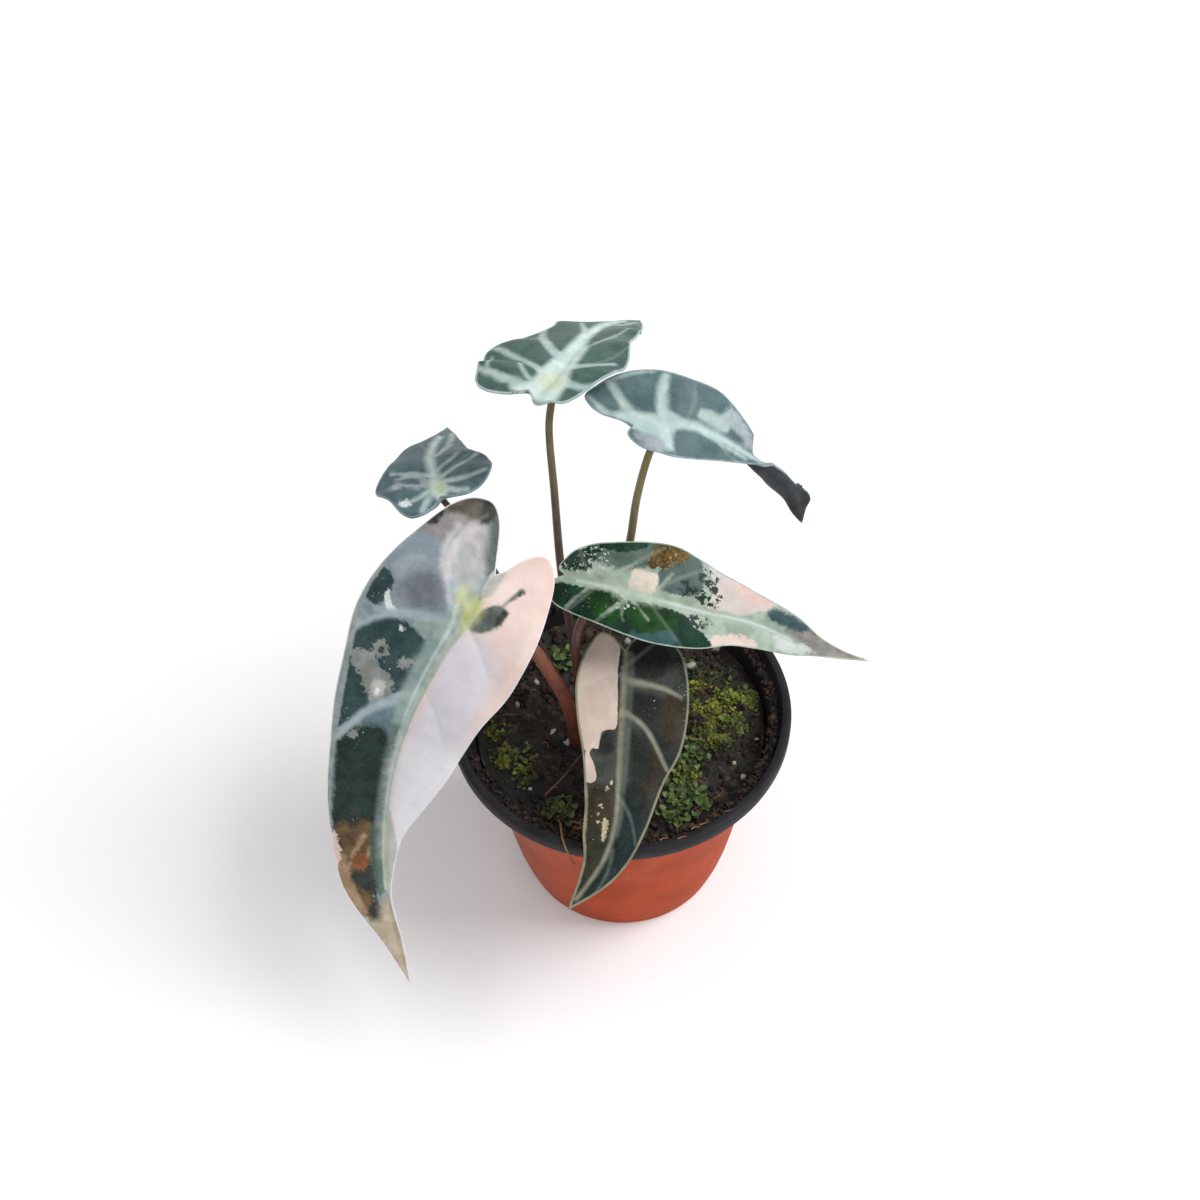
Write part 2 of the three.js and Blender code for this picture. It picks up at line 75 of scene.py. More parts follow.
def linear(code: str) -> tuple[float, float, float, float]:
    """Turns an sRGB hex colour into the linear colour that a shader takes.

    Args:
        code: The colour as "#rrggbb".

    Returns:
        Red, green, blue and an alpha of 1.
    """
    shares = [int(code[i:i + 2], 16) / 255 for i in (1, 3, 5)]
    red, green, blue = (
        c / 12.92 if c <= 0.04045 else ((c + 0.055) / 1.055) ** 2.4 for c in shares
    )
    return (red, green, blue, 1.0)


def add_node(
    tree: bpy.types.NodeTree, kind: str, inputs: dict[str | int, Any] | list[Any],
    out: str | int = 0, **settings: Any,
) -> Socket | None:
    """Adds a shader node with its settings, its values and its links.

    Args:
        tree: The material's node tree.
        kind: The node's type without the leading ShaderNode.
        inputs: Values, or outputs to link, in the sockets' order or by name or number.
        out: The output to give back.
        settings: The node's own properties.

    Returns:
        The node's output, if it has any.
    """
    node = tree.nodes.new("ShaderNode" + kind)
    for name, value in settings.items():
        setattr(node, name, value)
    for key, value in inputs.items() if isinstance(inputs, dict) else enumerate(inputs):
        if isinstance(value, Socket):
            tree.links.new(value, node.inputs[key])
        else:
            node.inputs[key].default_value = value
    return node.outputs[out] if node.outputs else None


def start_material(name: str) -> tuple[Material, Adder, Socket]:
    """Makes a material with an empty node tree.

    Args:
        name: The material's name.

    Returns:
        The material, add_node for its tree, and the Object coordinates.
    """
    material = bpy.data.materials.new(name)
    material.use_nodes = True
    material.node_tree.nodes.clear()
    add = partial(add_node, material.node_tree)
    return material, add, add("TexCoord", [], "Object")


def pick(*pieces: Piece) -> None:
    """Selects these objects alone, and makes the first one active.

    Args:
        pieces: The objects.
    """
    bpy.ops.object.select_all(action="DESELECT")
    for piece in pieces:
        piece.select_set(True)
    bpy.context.view_layer.objects.active = pieces[0]


def edit(piece: Piece, *steps: Callable[[], Any]) -> None:
    """Runs operators on a piece in edit mode, with all of its mesh selected.

    Args:
        piece: The mesh object.
        steps: Calls without arguments, in order.
    """
    pick(piece)
    bpy.ops.object.mode_set(mode="EDIT")
    bpy.ops.mesh.select_all(action="SELECT")
    for step in steps:
        step()
    bpy.ops.object.mode_set(mode="OBJECT")


def apply_modifier(piece: Piece, kind: str, **settings: Any) -> None:
    """Adds a modifier to a piece and applies it.

    Args:
        piece: The mesh object.
        kind: The modifier's type.
        settings: The modifier's own properties.
    """
    pick(piece)
    modifier = piece.modifiers.new(kind.title(), kind)
    for name, value in settings.items():
        setattr(modifier, name, value)
    bpy.ops.object.modifier_apply(modifier=modifier.name)


def hand_over(piece: Piece, name: str, angle: float, slot: str, *nodes: str) -> None:
    """Names a piece, settles its place and shading, and rides it on the plant's body.

    Args:
        piece: The finished object.
        name: Its name.
        angle: Edges sharper than this, in degrees, stay sharp.
        slot: A material slot's name, not used.
        nodes: CAD nodes that the piece replaces.
    """
    pick(piece)
    piece.name = piece.data.name = name
    bpy.ops.object.transform_apply(location=True, rotation=True, scale=True)
    bpy.ops.object.shade_smooth_by_angle(angle=math.radians(angle))
    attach(piece, "root")
    if nodes:
        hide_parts(*nodes)
    log.info("%s: %d faces", name, len(piece.data.polygons))


def read_points(mesh: Mesh) -> np.ndarray:
    """Gives the places of a mesh's vertices.

    Args:
        mesh: The mesh.

    Returns:
        Rows of x, y, z in metres.
    """
    flat = np.empty(len(mesh.vertices) * 3)
    mesh.vertices.foreach_get("co", flat)
    return flat.reshape(-1, 3)


def write_points(mesh: Mesh, points: np.ndarray) -> None:
    """Moves a mesh's vertices to rows of x, y, z."""
    mesh.vertices.foreach_set("co", points.ravel())
    mesh.update()


def write_values(mesh: Mesh, name: str, values: np.ndarray) -> None:
    """Stores one number for each vertex of a mesh under a name."""
    attribute = mesh.attributes.new(name, "FLOAT", "POINT")
    attribute.data.foreach_set("value", values.astype(np.float32))


def disc(square: np.ndarray) -> np.ndarray:
    """Turns points of a square from -1 to 1 into points of a round sheet."""
    x, y = square[:, 0], square[:, 1]
    return np.column_stack([x * np.sqrt(1 - y * y / 2), y * np.sqrt(1 - x * x / 2)])


def around(reach: float, angle: float) -> tuple[float, float]:
    """The flat place at a distance and an angle from the pot's axis."""
    return reach * math.cos(angle), reach * math.sin(angle)


def catmull_rom(knots: np.ndarray, shares: np.ndarray) -> np.ndarray:
    """Follows the centripetal Catmull-Rom curve through some points.

    Args:
        knots: Rows of coordinates.
        shares: Places along the curve, 0 at the first knot and 1 at the last.

    Returns:
        One row of coordinates for each share.
    """
    last = len(knots) - 1
    station = last * np.atleast_1d(shares)
    before = np.minimum(np.floor(station).astype(int), last - 1)
    w = (station - before)[:, None]
    padded = np.vstack([2 * knots[0] - knots[1], knots, 2 * knots[-1] - knots[-2]])
    p0, p1, p2, p3 = (padded[before + i] for i in range(4))
    d0, d1, d2 = (
        np.maximum(((a - b) ** 2).sum(1, keepdims=True) ** 0.25, 1e-4)
        for a, b in ((p0, p1), (p1, p2), (p2, p3))
    )
    t1 = ((p1 - p0) / d0 - (p2 - p0) / (d0 + d1) + (p2 - p1) / d1) * d1
    t2 = ((p2 - p1) / d1 - (p3 - p1) / (d1 + d2) + (p3 - p2) / d2) * d1
    square = -3 * p1 + 3 * p2 - 2 * t1 - t2
    cube = 2 * p1 - 2 * p2 + t1 + t2
    return p1 + t1 * w + square * w ** 2 + cube * w ** 3


def run_of(line: np.ndarray) -> np.ndarray:
    """Distance covered along a line at each of its points."""
    return np.concatenate([[0], np.cumsum(np.linalg.norm(np.diff(line, axis=0), axis=1))])


def even_steps(knots: np.ndarray, count: int) -> np.ndarray:
    """Gives points at even distances along the curve through some knots.

    Args:
        knots: Rows of coordinates.
        count: Number of points, both ends included.

    Returns:
        Rows of coordinates.
    """
    shares = np.linspace(0, 1, 1200)
    run = run_of(catmull_rom(knots, shares))
    return catmull_rom(knots, np.interp(np.linspace(0, run[-1], count), run, shares))


def flat_points(row: Row) -> np.ndarray:
    """Turns x and y in turn into rows of x, y."""
    return np.array(row, float).reshape(-1, 2)


def segment_gap(points: np.ndarray, a: np.ndarray, b: np.ndarray) -> tuple[np.ndarray, np.ndarray]:
    """Measures flat points against one straight stretch.

    Args:
        points: Rows of x, y.
        a: The stretch's first end.
        b: Its second end.

    Returns:
        Each point's distance to the stretch, and the share of the stretch nearest to it.
    """
    along = b - a
    share = np.clip((points - a) @ along / max(along @ along, 1e-9), 0, 1)
    return np.linalg.norm(points - a - share[:, None] * along, axis=1), share


def depth_inside(points: np.ndarray, outline: np.ndarray) -> np.ndarray:
    """Measures how far flat points lie inside a closed outline.

    Args:
        points: Rows of x, y.
        outline: Rows of x, y round it.

    Returns:
        Each point's distance to the outline, negative outside it.
    """
    nearest = np.full(len(points), 1e9)
    crossings = np.zeros(len(points), int)
    x, y = points[:, 0], points[:, 1]
    for a, b in zip(outline, np.roll(outline, -1, axis=0)):
        nearest = np.minimum(nearest, segment_gap(points, a, b)[0])
        rise = b[1] - a[1]
        if abs(rise) > 1e-9:
            at = a[0] + (y - a[1]) / rise * (b[0] - a[0])
            crossings += ((a[1] > y) != (b[1] > y)) & (x < at)
    return np.where(crossings % 2 == 1, nearest, -nearest)


class Tint(Enum):
    """The tints of the variegated blades: two colours that drift into each other.

    The edge is how soft a patch's border is, ragged how far it wanders and grain how wide
    each wandering is, in mm. A cap on the depth below 1 mm opens the patch into flecks.
    """

    SAGE = "#72858a", "#93a4a7", 1.6, 0.6
    RIBSIDE = "#7b8c8a", "#8f9f9b", 2.4, 0.3
    RIBLINE = "#aebab5", "#bcc7c2", 1.2, 0.2
    RIBGREEN = "#9cac9b", "#afbcab", 1, 0.2
    HAZE = "#5a6e73", "#6f8388", 3.6, 0.6
    LATERAL = "#8799a0", "#9aaab0", 2, 0.4
    SILVER = "#7f8a8d", "#99a09f", 0.9, 0.5
    FROST = "#9aaeab", "#b0c1be", 1.8, 0.5
    PISTACHIO = "#8b9b8c", "#a8b6a8", 1.4, 1
    BLUSH = "#d5c0b8", "#dbc7c0", 0.3, 0.15
    LILAC = "#cdc8d0", "#d3ced6", 9, 1.5
    PEARL = "#d5d3d7", "#dddbdf", 9, 1.5
    SLATE_SHEEN = "#75828a", "#8b959a", 5, 0.8
    DUSK = "#5b6069", "#6b6f77", 6, 0.8
    FOG = "#96989a", "#a7a8a5", 4, 1
    MAUVE = "#7d7877", "#908a88", 5, 1.2
    VEIL = "#b4aeb2", "#c0bbbd", 2.6, 0.9
    ASH = "#757a77", "#8d918d", 0.8, 2, 1.3
    PALE_ASH = "#a3a49f", "#b9b9b3", 1.6, 1.4, 1.2
    LICHEN = "#7d8d86", "#8d9c94", 1.6, 0.8
    UMBER = "#4d483e", "#696357", 3, 1.4
    INK = "#2c2e29", "#3f4038", 1.8, 1.4, 1.4
    PLUM = "#211a1d", "#382f33", 1.6, 1.5
    OLIVE_GREY = "#49534c", "#66706a", 1.4, 0.5
    EDGE_GREY = "#48534f", "#5c6763", 3, 0.8
    SNOW = "#c2cbcd", "#dde2e2", 0.7, 0.9, 1.2
    DEEP = "#273a3b", "#344949", 1, 0.9, 1.6
    NIGHT = "#16251f", "#22352e", 2.6, 0.8, 1.6
    RIBDARK = "#4f6059", "#61716a", 2.4, 0.3
    SEA = "#405954", "#516b64", 1.6, 0.5
    MARSH = "#4a6264", "#5c7275", 1.6, 0.5
    SPECK = "#b7a67c", "#d6caa6", 0.5, 3, 0.8, -1.7
    TEAL = "#4a6164", "#5c7376", 1.6, 0.5
    BROWN = "#473825", "#6a5438", 1.6, 2.2, 1.2
    RUST = "#6e4026", "#8a5534", 1.4, 1.6, 1.2
    TAN = "#8c7257", "#a08a70", 1.6, 0.8, 1.4
    OLIVE = "#39443a", "#4c5749", 1.6, 0.8
    SOOT = "#24292a", "#343a38", 1.8, 1.8, 1.6
    BEIGE = "#a0937f", "#b5a898", 5, 1
    STONE_AND_SHADE = "#a9aaa2", "#b9b9b1", 1, 0.4
    GLOW = "#adb26c", "#bbbf83", 5, 0.8
    VIVID = "#0a2c0e", "#154312", 2.4, 1.8, 1.8
    FOREST = "#0b261a", "#153a2b", 0.6, 0.9, 1.2
    PINE = "#29484a", "#365658", 2.6, 1.4, 1.6
    MOSSY = "#46584f", "#5a6c62", 2, 1.4, 1.2
    SMOKE = "#435553", "#546662", 1, 1.2, 1.2
    OCHRE = "#483716", "#735a2a", 0.8, 2.8, 1.3, 0.9
    STRAW = "#b09a58", "#cdbb7c", 0.5, 3, 0.9, -1.2
    PEPPER = "#1f2c25", "#2f3d35", 0.5, 3, 1.6, 0.1
    SALT = "#a4b5a4", "#c6d2c4", 0.6, 3, 1.1, -0.62
    DOTS = "#aab3a6", "#d3d8ca", 0.5, 3, 0.8, -1.5
    ROSE = "#c1b7b2", "#ccc2bd", 0.6, 0.5
    CREAM = "#cbc1b3", "#dcd2c6", 0.8, 0.5, 1.4
    MILK = "#b3bcb7", "#c4ccc8", 1.6, 1.2, 1.4
    COAL = "#1e211f", "#2b2f2b", 1.6, 1
    PITCH = "#191b1a", "#232521", 3, 1.2
    DEW = "#a0b19f", "#b2c1ad", 4.5, 1.4
    BLOOM = "#dab3a8", "#e0beb4", 7, 1
    PETAL = "#cdb9b1", "#d8c5bc", 0.8, 1.6, 1.2
    CLOVE = "#3a2f1c", "#4d3f24", 0.5, 3, 1, -0.45
    PEWTER = "#7b7a75", "#8d8a83", 3, 1.2
    IVORY = "#928869", "#b8ad8c", 0.4, 1, 0.8
    LAKE = "#2e4249", "#3d535a", 1.8, 1.2, 1.2
    PEACH = "#cdb0a6", "#d6bdb4", 3, 1.4
    TURF = "#1f2117", "#2f2f21", 3, 1.6
    BARK = "#272015", "#352d1e", 3, 1.4
    CINDER = "#333732", "#434741", 2.4, 0.8
    WATER = "#142122", "#1f2d2d", 2, 0.8
    REED = "#747563", "#8a8875", 1.6, 0.25
    SEDGE = "#77775f", "#8b8a74", 0.6, 0.4
    SHELL = "#c2afa3", "#ccbaae", 0.3, 0.3
    FILM = "#4d5650", "#5d665f", 1.6, 0.3
    MIST = "#b9cdc7", "#cfe0da", 2.8, 0.4
    FOAM = "#aac0be", "#b8ccc9", 2, 0.4
    LEAFMIST = "#8c9c8d", "#a1af9e", 1.5, 0.7
    BUD = "#bdcbb0", "#cbd6bd", 4, 0.8
    VIOLET = "#929da1", "#a7b2b6", 3, 1.8, 1.4

    def __init__(
        self, dark: str, light: str, edge: float, ragged: float, grain: float = 2.6,
        cap: float = 50.0,
    ) -> None:
        """Takes the two colours, and how the tint's patches end."""
        self.dark, self.light, self.edge, self.ragged = dark, light, edge, ragged
        self.grain, self.cap = grain, cap


@dataclass(frozen=True)
class Vein:
    """A vein: its path on the flat blade and its half width at both ends, in mm."""

    path: Row
    start: float
    end: float

    def depth(self, points: np.ndarray) -> np.ndarray:
        """Measures how far flat points lie inside the vein.

        Args:
            points: Rows of x, y.

        Returns:
            Each point's depth, negative outside the vein.
        """
        line = even_steps(flat_points(self.path), 12)
        best = np.full(len(points), -1e9)
        for i, (a, b) in enumerate(zip(line, line[1:])):
            gap, share = segment_gap(points, a, b)
            half = self.start + (self.end - self.start) * (i + share) / (len(line) - 1)
            best = np.maximum(best, half - gap)
        return best


class Layer:
    """One coat of colour on a blade: outlined areas and veins that share a tint."""

    def __init__(self, tint: Tint, *parts: Row | Vein) -> None:
        """Takes the tint, and the areas and veins that it fills."""
        self.tint, self.parts = tint, parts

    def depth(self, points: np.ndarray) -> np.ndarray:
        """Measures how far flat points lie inside the coat.

        Args:
            points: Rows of x, y.

        Returns:
            Each point's depth, negative outside the coat.
        """
        return np.max([
            part.depth(points) if isinstance(part, Vein) else self.inside(points, part)
            for part in self.parts
        ], axis=0)

    @staticmethod
    def inside(points: np.ndarray, area: Row) -> np.ndarray:
        """Measures how far flat points lie inside an area whose corners are gently rounded.

        Args:
            points: Rows of x, y.
            area: The area's corners.

        Returns:
            Each point's depth, negative outside the area.
        """
        knots = flat_points(area)
        closed = np.vstack([knots[-2:], knots, knots[:2]])
        shares = (2 + np.arange(len(knots) * 4) / 4) / (len(closed) - 1)
        return depth_inside(points, catmull_rom(closed, shares))


@dataclass(frozen=True)
class Stalk:
    """A petiole: where it leaves the soil, its path, its radii and colours going up, in mm."""

    foot: tuple[float, float]
    path: tuple[Spot, ...]
    radii: Spot
    colours: tuple[str, str, str]


@dataclass(frozen=True)
class LeafForm:
    """One leaf: its flat outline, the spine it is laid on, its markings and its stalk.

    The ruffle is the wavy margin's height, wave length and phase. Roll turns the blade
    about its spine, and tuck turns the half with positive x further, in degrees.
    """

    name: str
    facing: Spot
    spine: tuple[Spot, ...]
    fold: float
    camber: float
    ruffle: Spot
    lobe_share: float
    sinus: tuple[float, float]
    minus_side: Row
    plus_side: Row
    base: Tint
    margin: Tint
    margin_width: float
    under: Tint
    layers: tuple[Layer, ...]
    laterals: tuple[Vein, ...]
    stalk: Stalk
    roll: tuple[float, ...] = (0,)
    tuck: tuple[float, ...] = (0,)


LARGE_LEFT = LeafForm(
    name="large_left", facing=(0.01, -0.65, 0.76), fold=9, camber=0.006, ruffle=(0.5, 34, 0.6),
    lobe_share=0.3, sinus=(0.6, -13), base=Tint.SAGE, margin=Tint.PEARL, under=Tint.MAUVE,
    margin_width=0.35,
    spine=((-30.1, 6.2, 150), (-41.4, -14.5, 148), (-52, -23.3, 136), (-63.5, -32.6, 113),
        (-71.8, -43.7, 82), (-73.3, -56, 55), (-67.7, -73.4, 34)),
    minus_side=(-7.4, -28.8, -12, -32.4, -17, -30.6, -21.4, -25, -25.2, -13, -27.4, 2, -27.4, 16,
        -23.4, 33, -21, 48, -18.9, 65, -16.4, 84, -13.8, 100, -10, 109.5, -5, 120, -1.5, 132),
    plus_side=(2.2, -15.5, 5.2, -22.6, 8.2, -26, 11, -26.4, 15.5, -21.8, 19.6, -9, 22.8, 6,
        23.2, 18, 20.6, 31, 18.6, 45, 16.4, 56, 11, 71, 5.5, 84, 2.8, 97, 1.2, 107, 1.7, 121),
    layers=(
        # The slate patch on the upper lobe is the lobe's blue-grey sheen laid into its colour: a
        # painted reflection.
        Layer(Tint.SLATE_SHEEN, (-29, -16, -20, -17, -14, -9, -9, -3, -4, 3, -7, 7, -15, 12, -20, 11,
            -25, 6, -29, 4)),
        Layer(Tint.DUSK, (-17, -2, -12, -3, -6, 3, -9, 7, -15, 9, -19, 5)),
        Layer(Tint.FOG, (-14, -24, -8, -25, -3, -18, -1, -12, -2, -3, -8, -4, -14, -10)),
        Layer(Tint.MAUVE, (-28, -22, -22, -28, -14, -28, -14, -20, -17, -13, -22, -13, -28, -14)),
        Layer(Tint.UMBER, (-27, -22, -22, -34, -12, -38, -7, -30, -11, -25, -16, -24, -21, -22)),
        Layer(Tint.EDGE_GREY, (-9, -31, -4, -26, 1, -15, 1, -9, -2.2, -12, -6, -19, -9, -26)),
        Layer(Tint.INK, (-14, -33, -11, -33, -9, -28.5, -10.6, -24.5, -13, -27), (-25.4, -21,
            -22.4, -22, -21.6, -17, -24, -15.6)),
        Layer(Tint.VEIL, Vein((-12, -22, -13.6, -15, -12, -7, -8, -2, -3, 2.6), 1.6, 1.3),
            Vein((-16, -20, -15.6, -12, -13, -6), 0.7, 0.9), Vein((-12.6, -19, -8, -17.4,
            -5.6, -11), 0.5, 0.3)),
        Layer(Tint.LICHEN, (-9, 8, -4.6, 6.6, -2, 8, -2, 14, -5, 14.6, -8.6, 13)),
        Layer(Tint.DEEP, (-27, 5, -22, 5.6, -20.4, 10, -21, 13, -24, 14.6, -27, 12), (-24.4, 24,
            -22.6, 17.4, -18, 14.6, -13, 13.5, -9, 13.8, -5, 14.8, -3, 16.4, -3.2, 24, -4, 31,
            -6.5, 33.8, -8.6, 31.4, -9.6, 28.5, -13, 28, -16, 25.6, -20, 27, -23, 27.6),
            (-22, 28.8, -17.5, 31.6, -14, 35.4, -12, 39, -13, 43.6, -16, 47, -18.6, 49.6, -20, 44,
            -21.2, 37)),
        Layer(Tint.HAZE, (-11, 38, -5, 36, -2.6, 38, -3, 48, -9, 47, -13, 46), (-4, 12, -1.6, 14,
            -2, 30, -4, 34, -5.2, 26)),
        Layer(Tint.NIGHT, (-18.6, 54, -16, 50, -12, 46.4, -6, 45, -2.6, 49, -2.2, 58, -2.2, 68,
            -2.4, 78, -3, 85, -10, 84, -15.6, 84, -16.4, 70, -17.6, 60)),
        Layer(Tint.ASH, (-22.4, 27.4, -17, 25.8, -13.4, 28.2, -9, 28.8, -7, 34.6, -10, 37.6,
            -14, 36, -17, 32.4, -21, 30.6), (-17, 21.6, -13.8, 21, -12.6, 23.6, -14.4, 25.8,
            -16.8, 24.6), (-9.4, 23.6, -6, 21.2, -4.8, 22.2, -7.6, 25), (-15, 49.6, -13, 48.4,
            -12.4, 50.8, -14.4, 52)),
        Layer(Tint.DEEP, (-15.4, 22.6, -14.2, 22.2, -13.8, 24, -15.2, 24.4)),
        Layer(Tint.PALE_ASH, (-13, 32, -10, 31.4, -9.4, 35.6, -11.6, 36.6)),
        Layer(Tint.SNOW, (-22, 8, -18.6, 11.4, -15.6, 12.4, -17, 14, -20, 12.8), (-11.6, 34,
            -10.6, 33.8, -10.2, 35.2, -11.2, 35.6), (-13.2, 15, -11.6, 15.2, -11.8, 15.9,
            -13, 15.8)),
        Layer(Tint.DOTS, (-24, 9, -22, 8.6, -22, 12, -24, 12), (-11, 23.4, -6, 23, -6, 26.6,
            -10, 26.6), (-19, 42, -18, 42, -17.4, 50, -18.6, 51), (-15, 51, -11.6, 48.6, -11.4, 52,
            -14, 54)),
        Layer(Tint.LATERAL, Vein((-1, 5.4, -8, 8.4, -15, 12.2, -21, 17, -26, 24), 1.4, 0.8),
            Vein((-1, 31, -5, 35, -10, 40, -14, 45, -18, 53), 1.7, 0.8), Vein((-8, -3, -4, 2,
            -2, 6), 1, 1)),
        Layer(Tint.BROWN, (-16.4, 83, -9, 78, -4, 79, -3.4, 90, -4, 104, -3, 116, -7, 113,
            -10, 107, -14, 101, -16, 94)),
        Layer(Tint.TAN, (-15, 92, -12, 91, -10.6, 97, -8.8, 104, -6.6, 111, -10, 110, -14, 100),
            Vein((-6, 84, -9, 90, -11, 96), 0.8, 0.4), Vein((-4, 88, -6.4, 95), 0.6, 0.3)),
        Layer(Tint.SOOT, (-9.6, 97, -7, 95, -3.6, 94, -2.6, 99, -3.4, 106, -6, 103, -9.6, 101),
            (-5.4, 108, -3, 107, -3.6, 114, -5, 114), (-12, 74, -8, 75, -8.6, 80, -11.6, 79)),
        Layer(Tint.RUST, (-9.4, 92, -6, 90, -4.6, 93.6, -6.4, 96.4, -9, 96)),
        Layer(Tint.OLIVE, (-4, 80, -1.4, 79, -1, 96, -2, 106, -3.6, 96)),
        Layer(Tint.DOTS, (-9, 77.4, -6.4, 77.4, -6.4, 80, -9, 80)),
        Layer(Tint.RIBSIDE, Vein((-2.6, 5, -2.8, 24, -2.6, 42), 1.9, 1.4)),
        Layer(Tint.RIBDARK, Vein((-2, 44, -1.8, 60, -1.2, 104), 1.5, 1)),
        Layer(Tint.SILVER, Vein((-28, 4, -28, 14, -24, 28, -21, 40, -20.2, 50, -19.2, 64,
            -17, 84), 1.8, 1.5)),
        Layer(Tint.BLUSH, (1.6, -12, 3, -17, 5, -28, 14, -32, 26, -22, 29, 18, 24, 52, 14, 80,
            6, 96, 3, 106, 1.2, 100, 0.8, 86, 0.7, 60, 1.2, 40, 2.2, 20, 2.6, 8, 2.4, 2, 1.4, -3)),
        Layer(Tint.PETAL, (-17, 84.6, -14.8, 84, -13.6, 87, -13.4, 92, -14.8, 96, -16.4, 93)),
        Layer(Tint.BLOOM, Vein((6, -27, 11, -27, 16, -21, 19, -10), 3, 1)),
        Layer(Tint.LILAC, (2.8, 7, 8, 5, 16, 10, 18, 26, 17, 46, 10, 62, 5, 78, 1.6, 60, 2.6, 30)),
        Layer(Tint.PEARL, (1.6, 50, 8, 46, 18, 42, 20, 52, 13, 72, 6, 90, 2, 92, 1.4, 70)),
        # The second stone-grey area, just right of the sinus, is painted shade where the lobes
        # meet.
        Layer(Tint.STONE_AND_SHADE, (0.9, 74, 3, 80, 4.4, 92, 2.4, 108, 0.6, 108), (-0.4, -14, 2.4, -17,
            3, -12, 3.2, -6, 1, -4)),
        Layer(Tint.RIBGREEN, Vein((1.2, 4, 1.1, 20, 0.4, 40, 0, 60, -0.2, 104), 0.9, 0.25)),
        Layer(Tint.RIBLINE, Vein((-3.4, 1.6, -1.6, 6, -0.8, 14, -0.9, 30, -1, 50), 0.6, 0.1)),
        Layer(Tint.BEIGE, (-10, 112, -4, 114, -1.6, 108, 3, 106, 4, 120, 0, 142, -5, 124)),
        Layer(Tint.OLIVE_GREY, (3.2, 4.6, 6.6, 4, 9.4, 0.6, 9.8, -4, 7.4, -5, 4.6, -3.4, 2.6, 1),
            Vein((9.6, -12.4, 8.6, -9, 7.4, -5), 0.7, 0.3)),
        Layer(Tint.INK, (8.2, -4.2, 9.7, -4, 9.6, 0, 8.4, -0.4), (9, -13, 10, -12.4, 9.8, -10.4,
            9, -11)),
        Layer(Tint.GLOW, (-1, -3.4, 1.6, -3.6, 3, -1, 3.2, 2.4, 2, 6.6, 0, 5, -1.4, 1.6),
            (-5, -3.6, -2.6, -3, -1.6, 0.4, -4, 0.4)),
    ),
    laterals=(
        Vein((0, 6, -8, 9, -15, 12.4, -22, 18, -25, 26), 1, 0.5), Vein((0, 30, -5, 34, -10, 40,
        -14, 46, -18, 54), 1, 0.5), Vein((0, 0, -6, -4, -12, -12, -14, -20, -11, -28), 1, 0.4),
        Vein((0, 4, 9, 8, 15, 13), 0.4, 0), Vein((0, 28, 7, 34, 12, 43), 0.4, 0), Vein((0, 0,
        6, -6, 9, -14), 0.4, 0),
    ),
    stalk=Stalk((-14.5, -7.5), ((-15.2, -8.2, 87), (-17.6, -8, 98.8), (-21.1, -8, 109.1),
        (-24.6, -8, 119), (-33, -8.6, 134)), (2.3, 2.9, 1.7), ("#6d3f33", "#8a5141", "#7a5a45")),
)

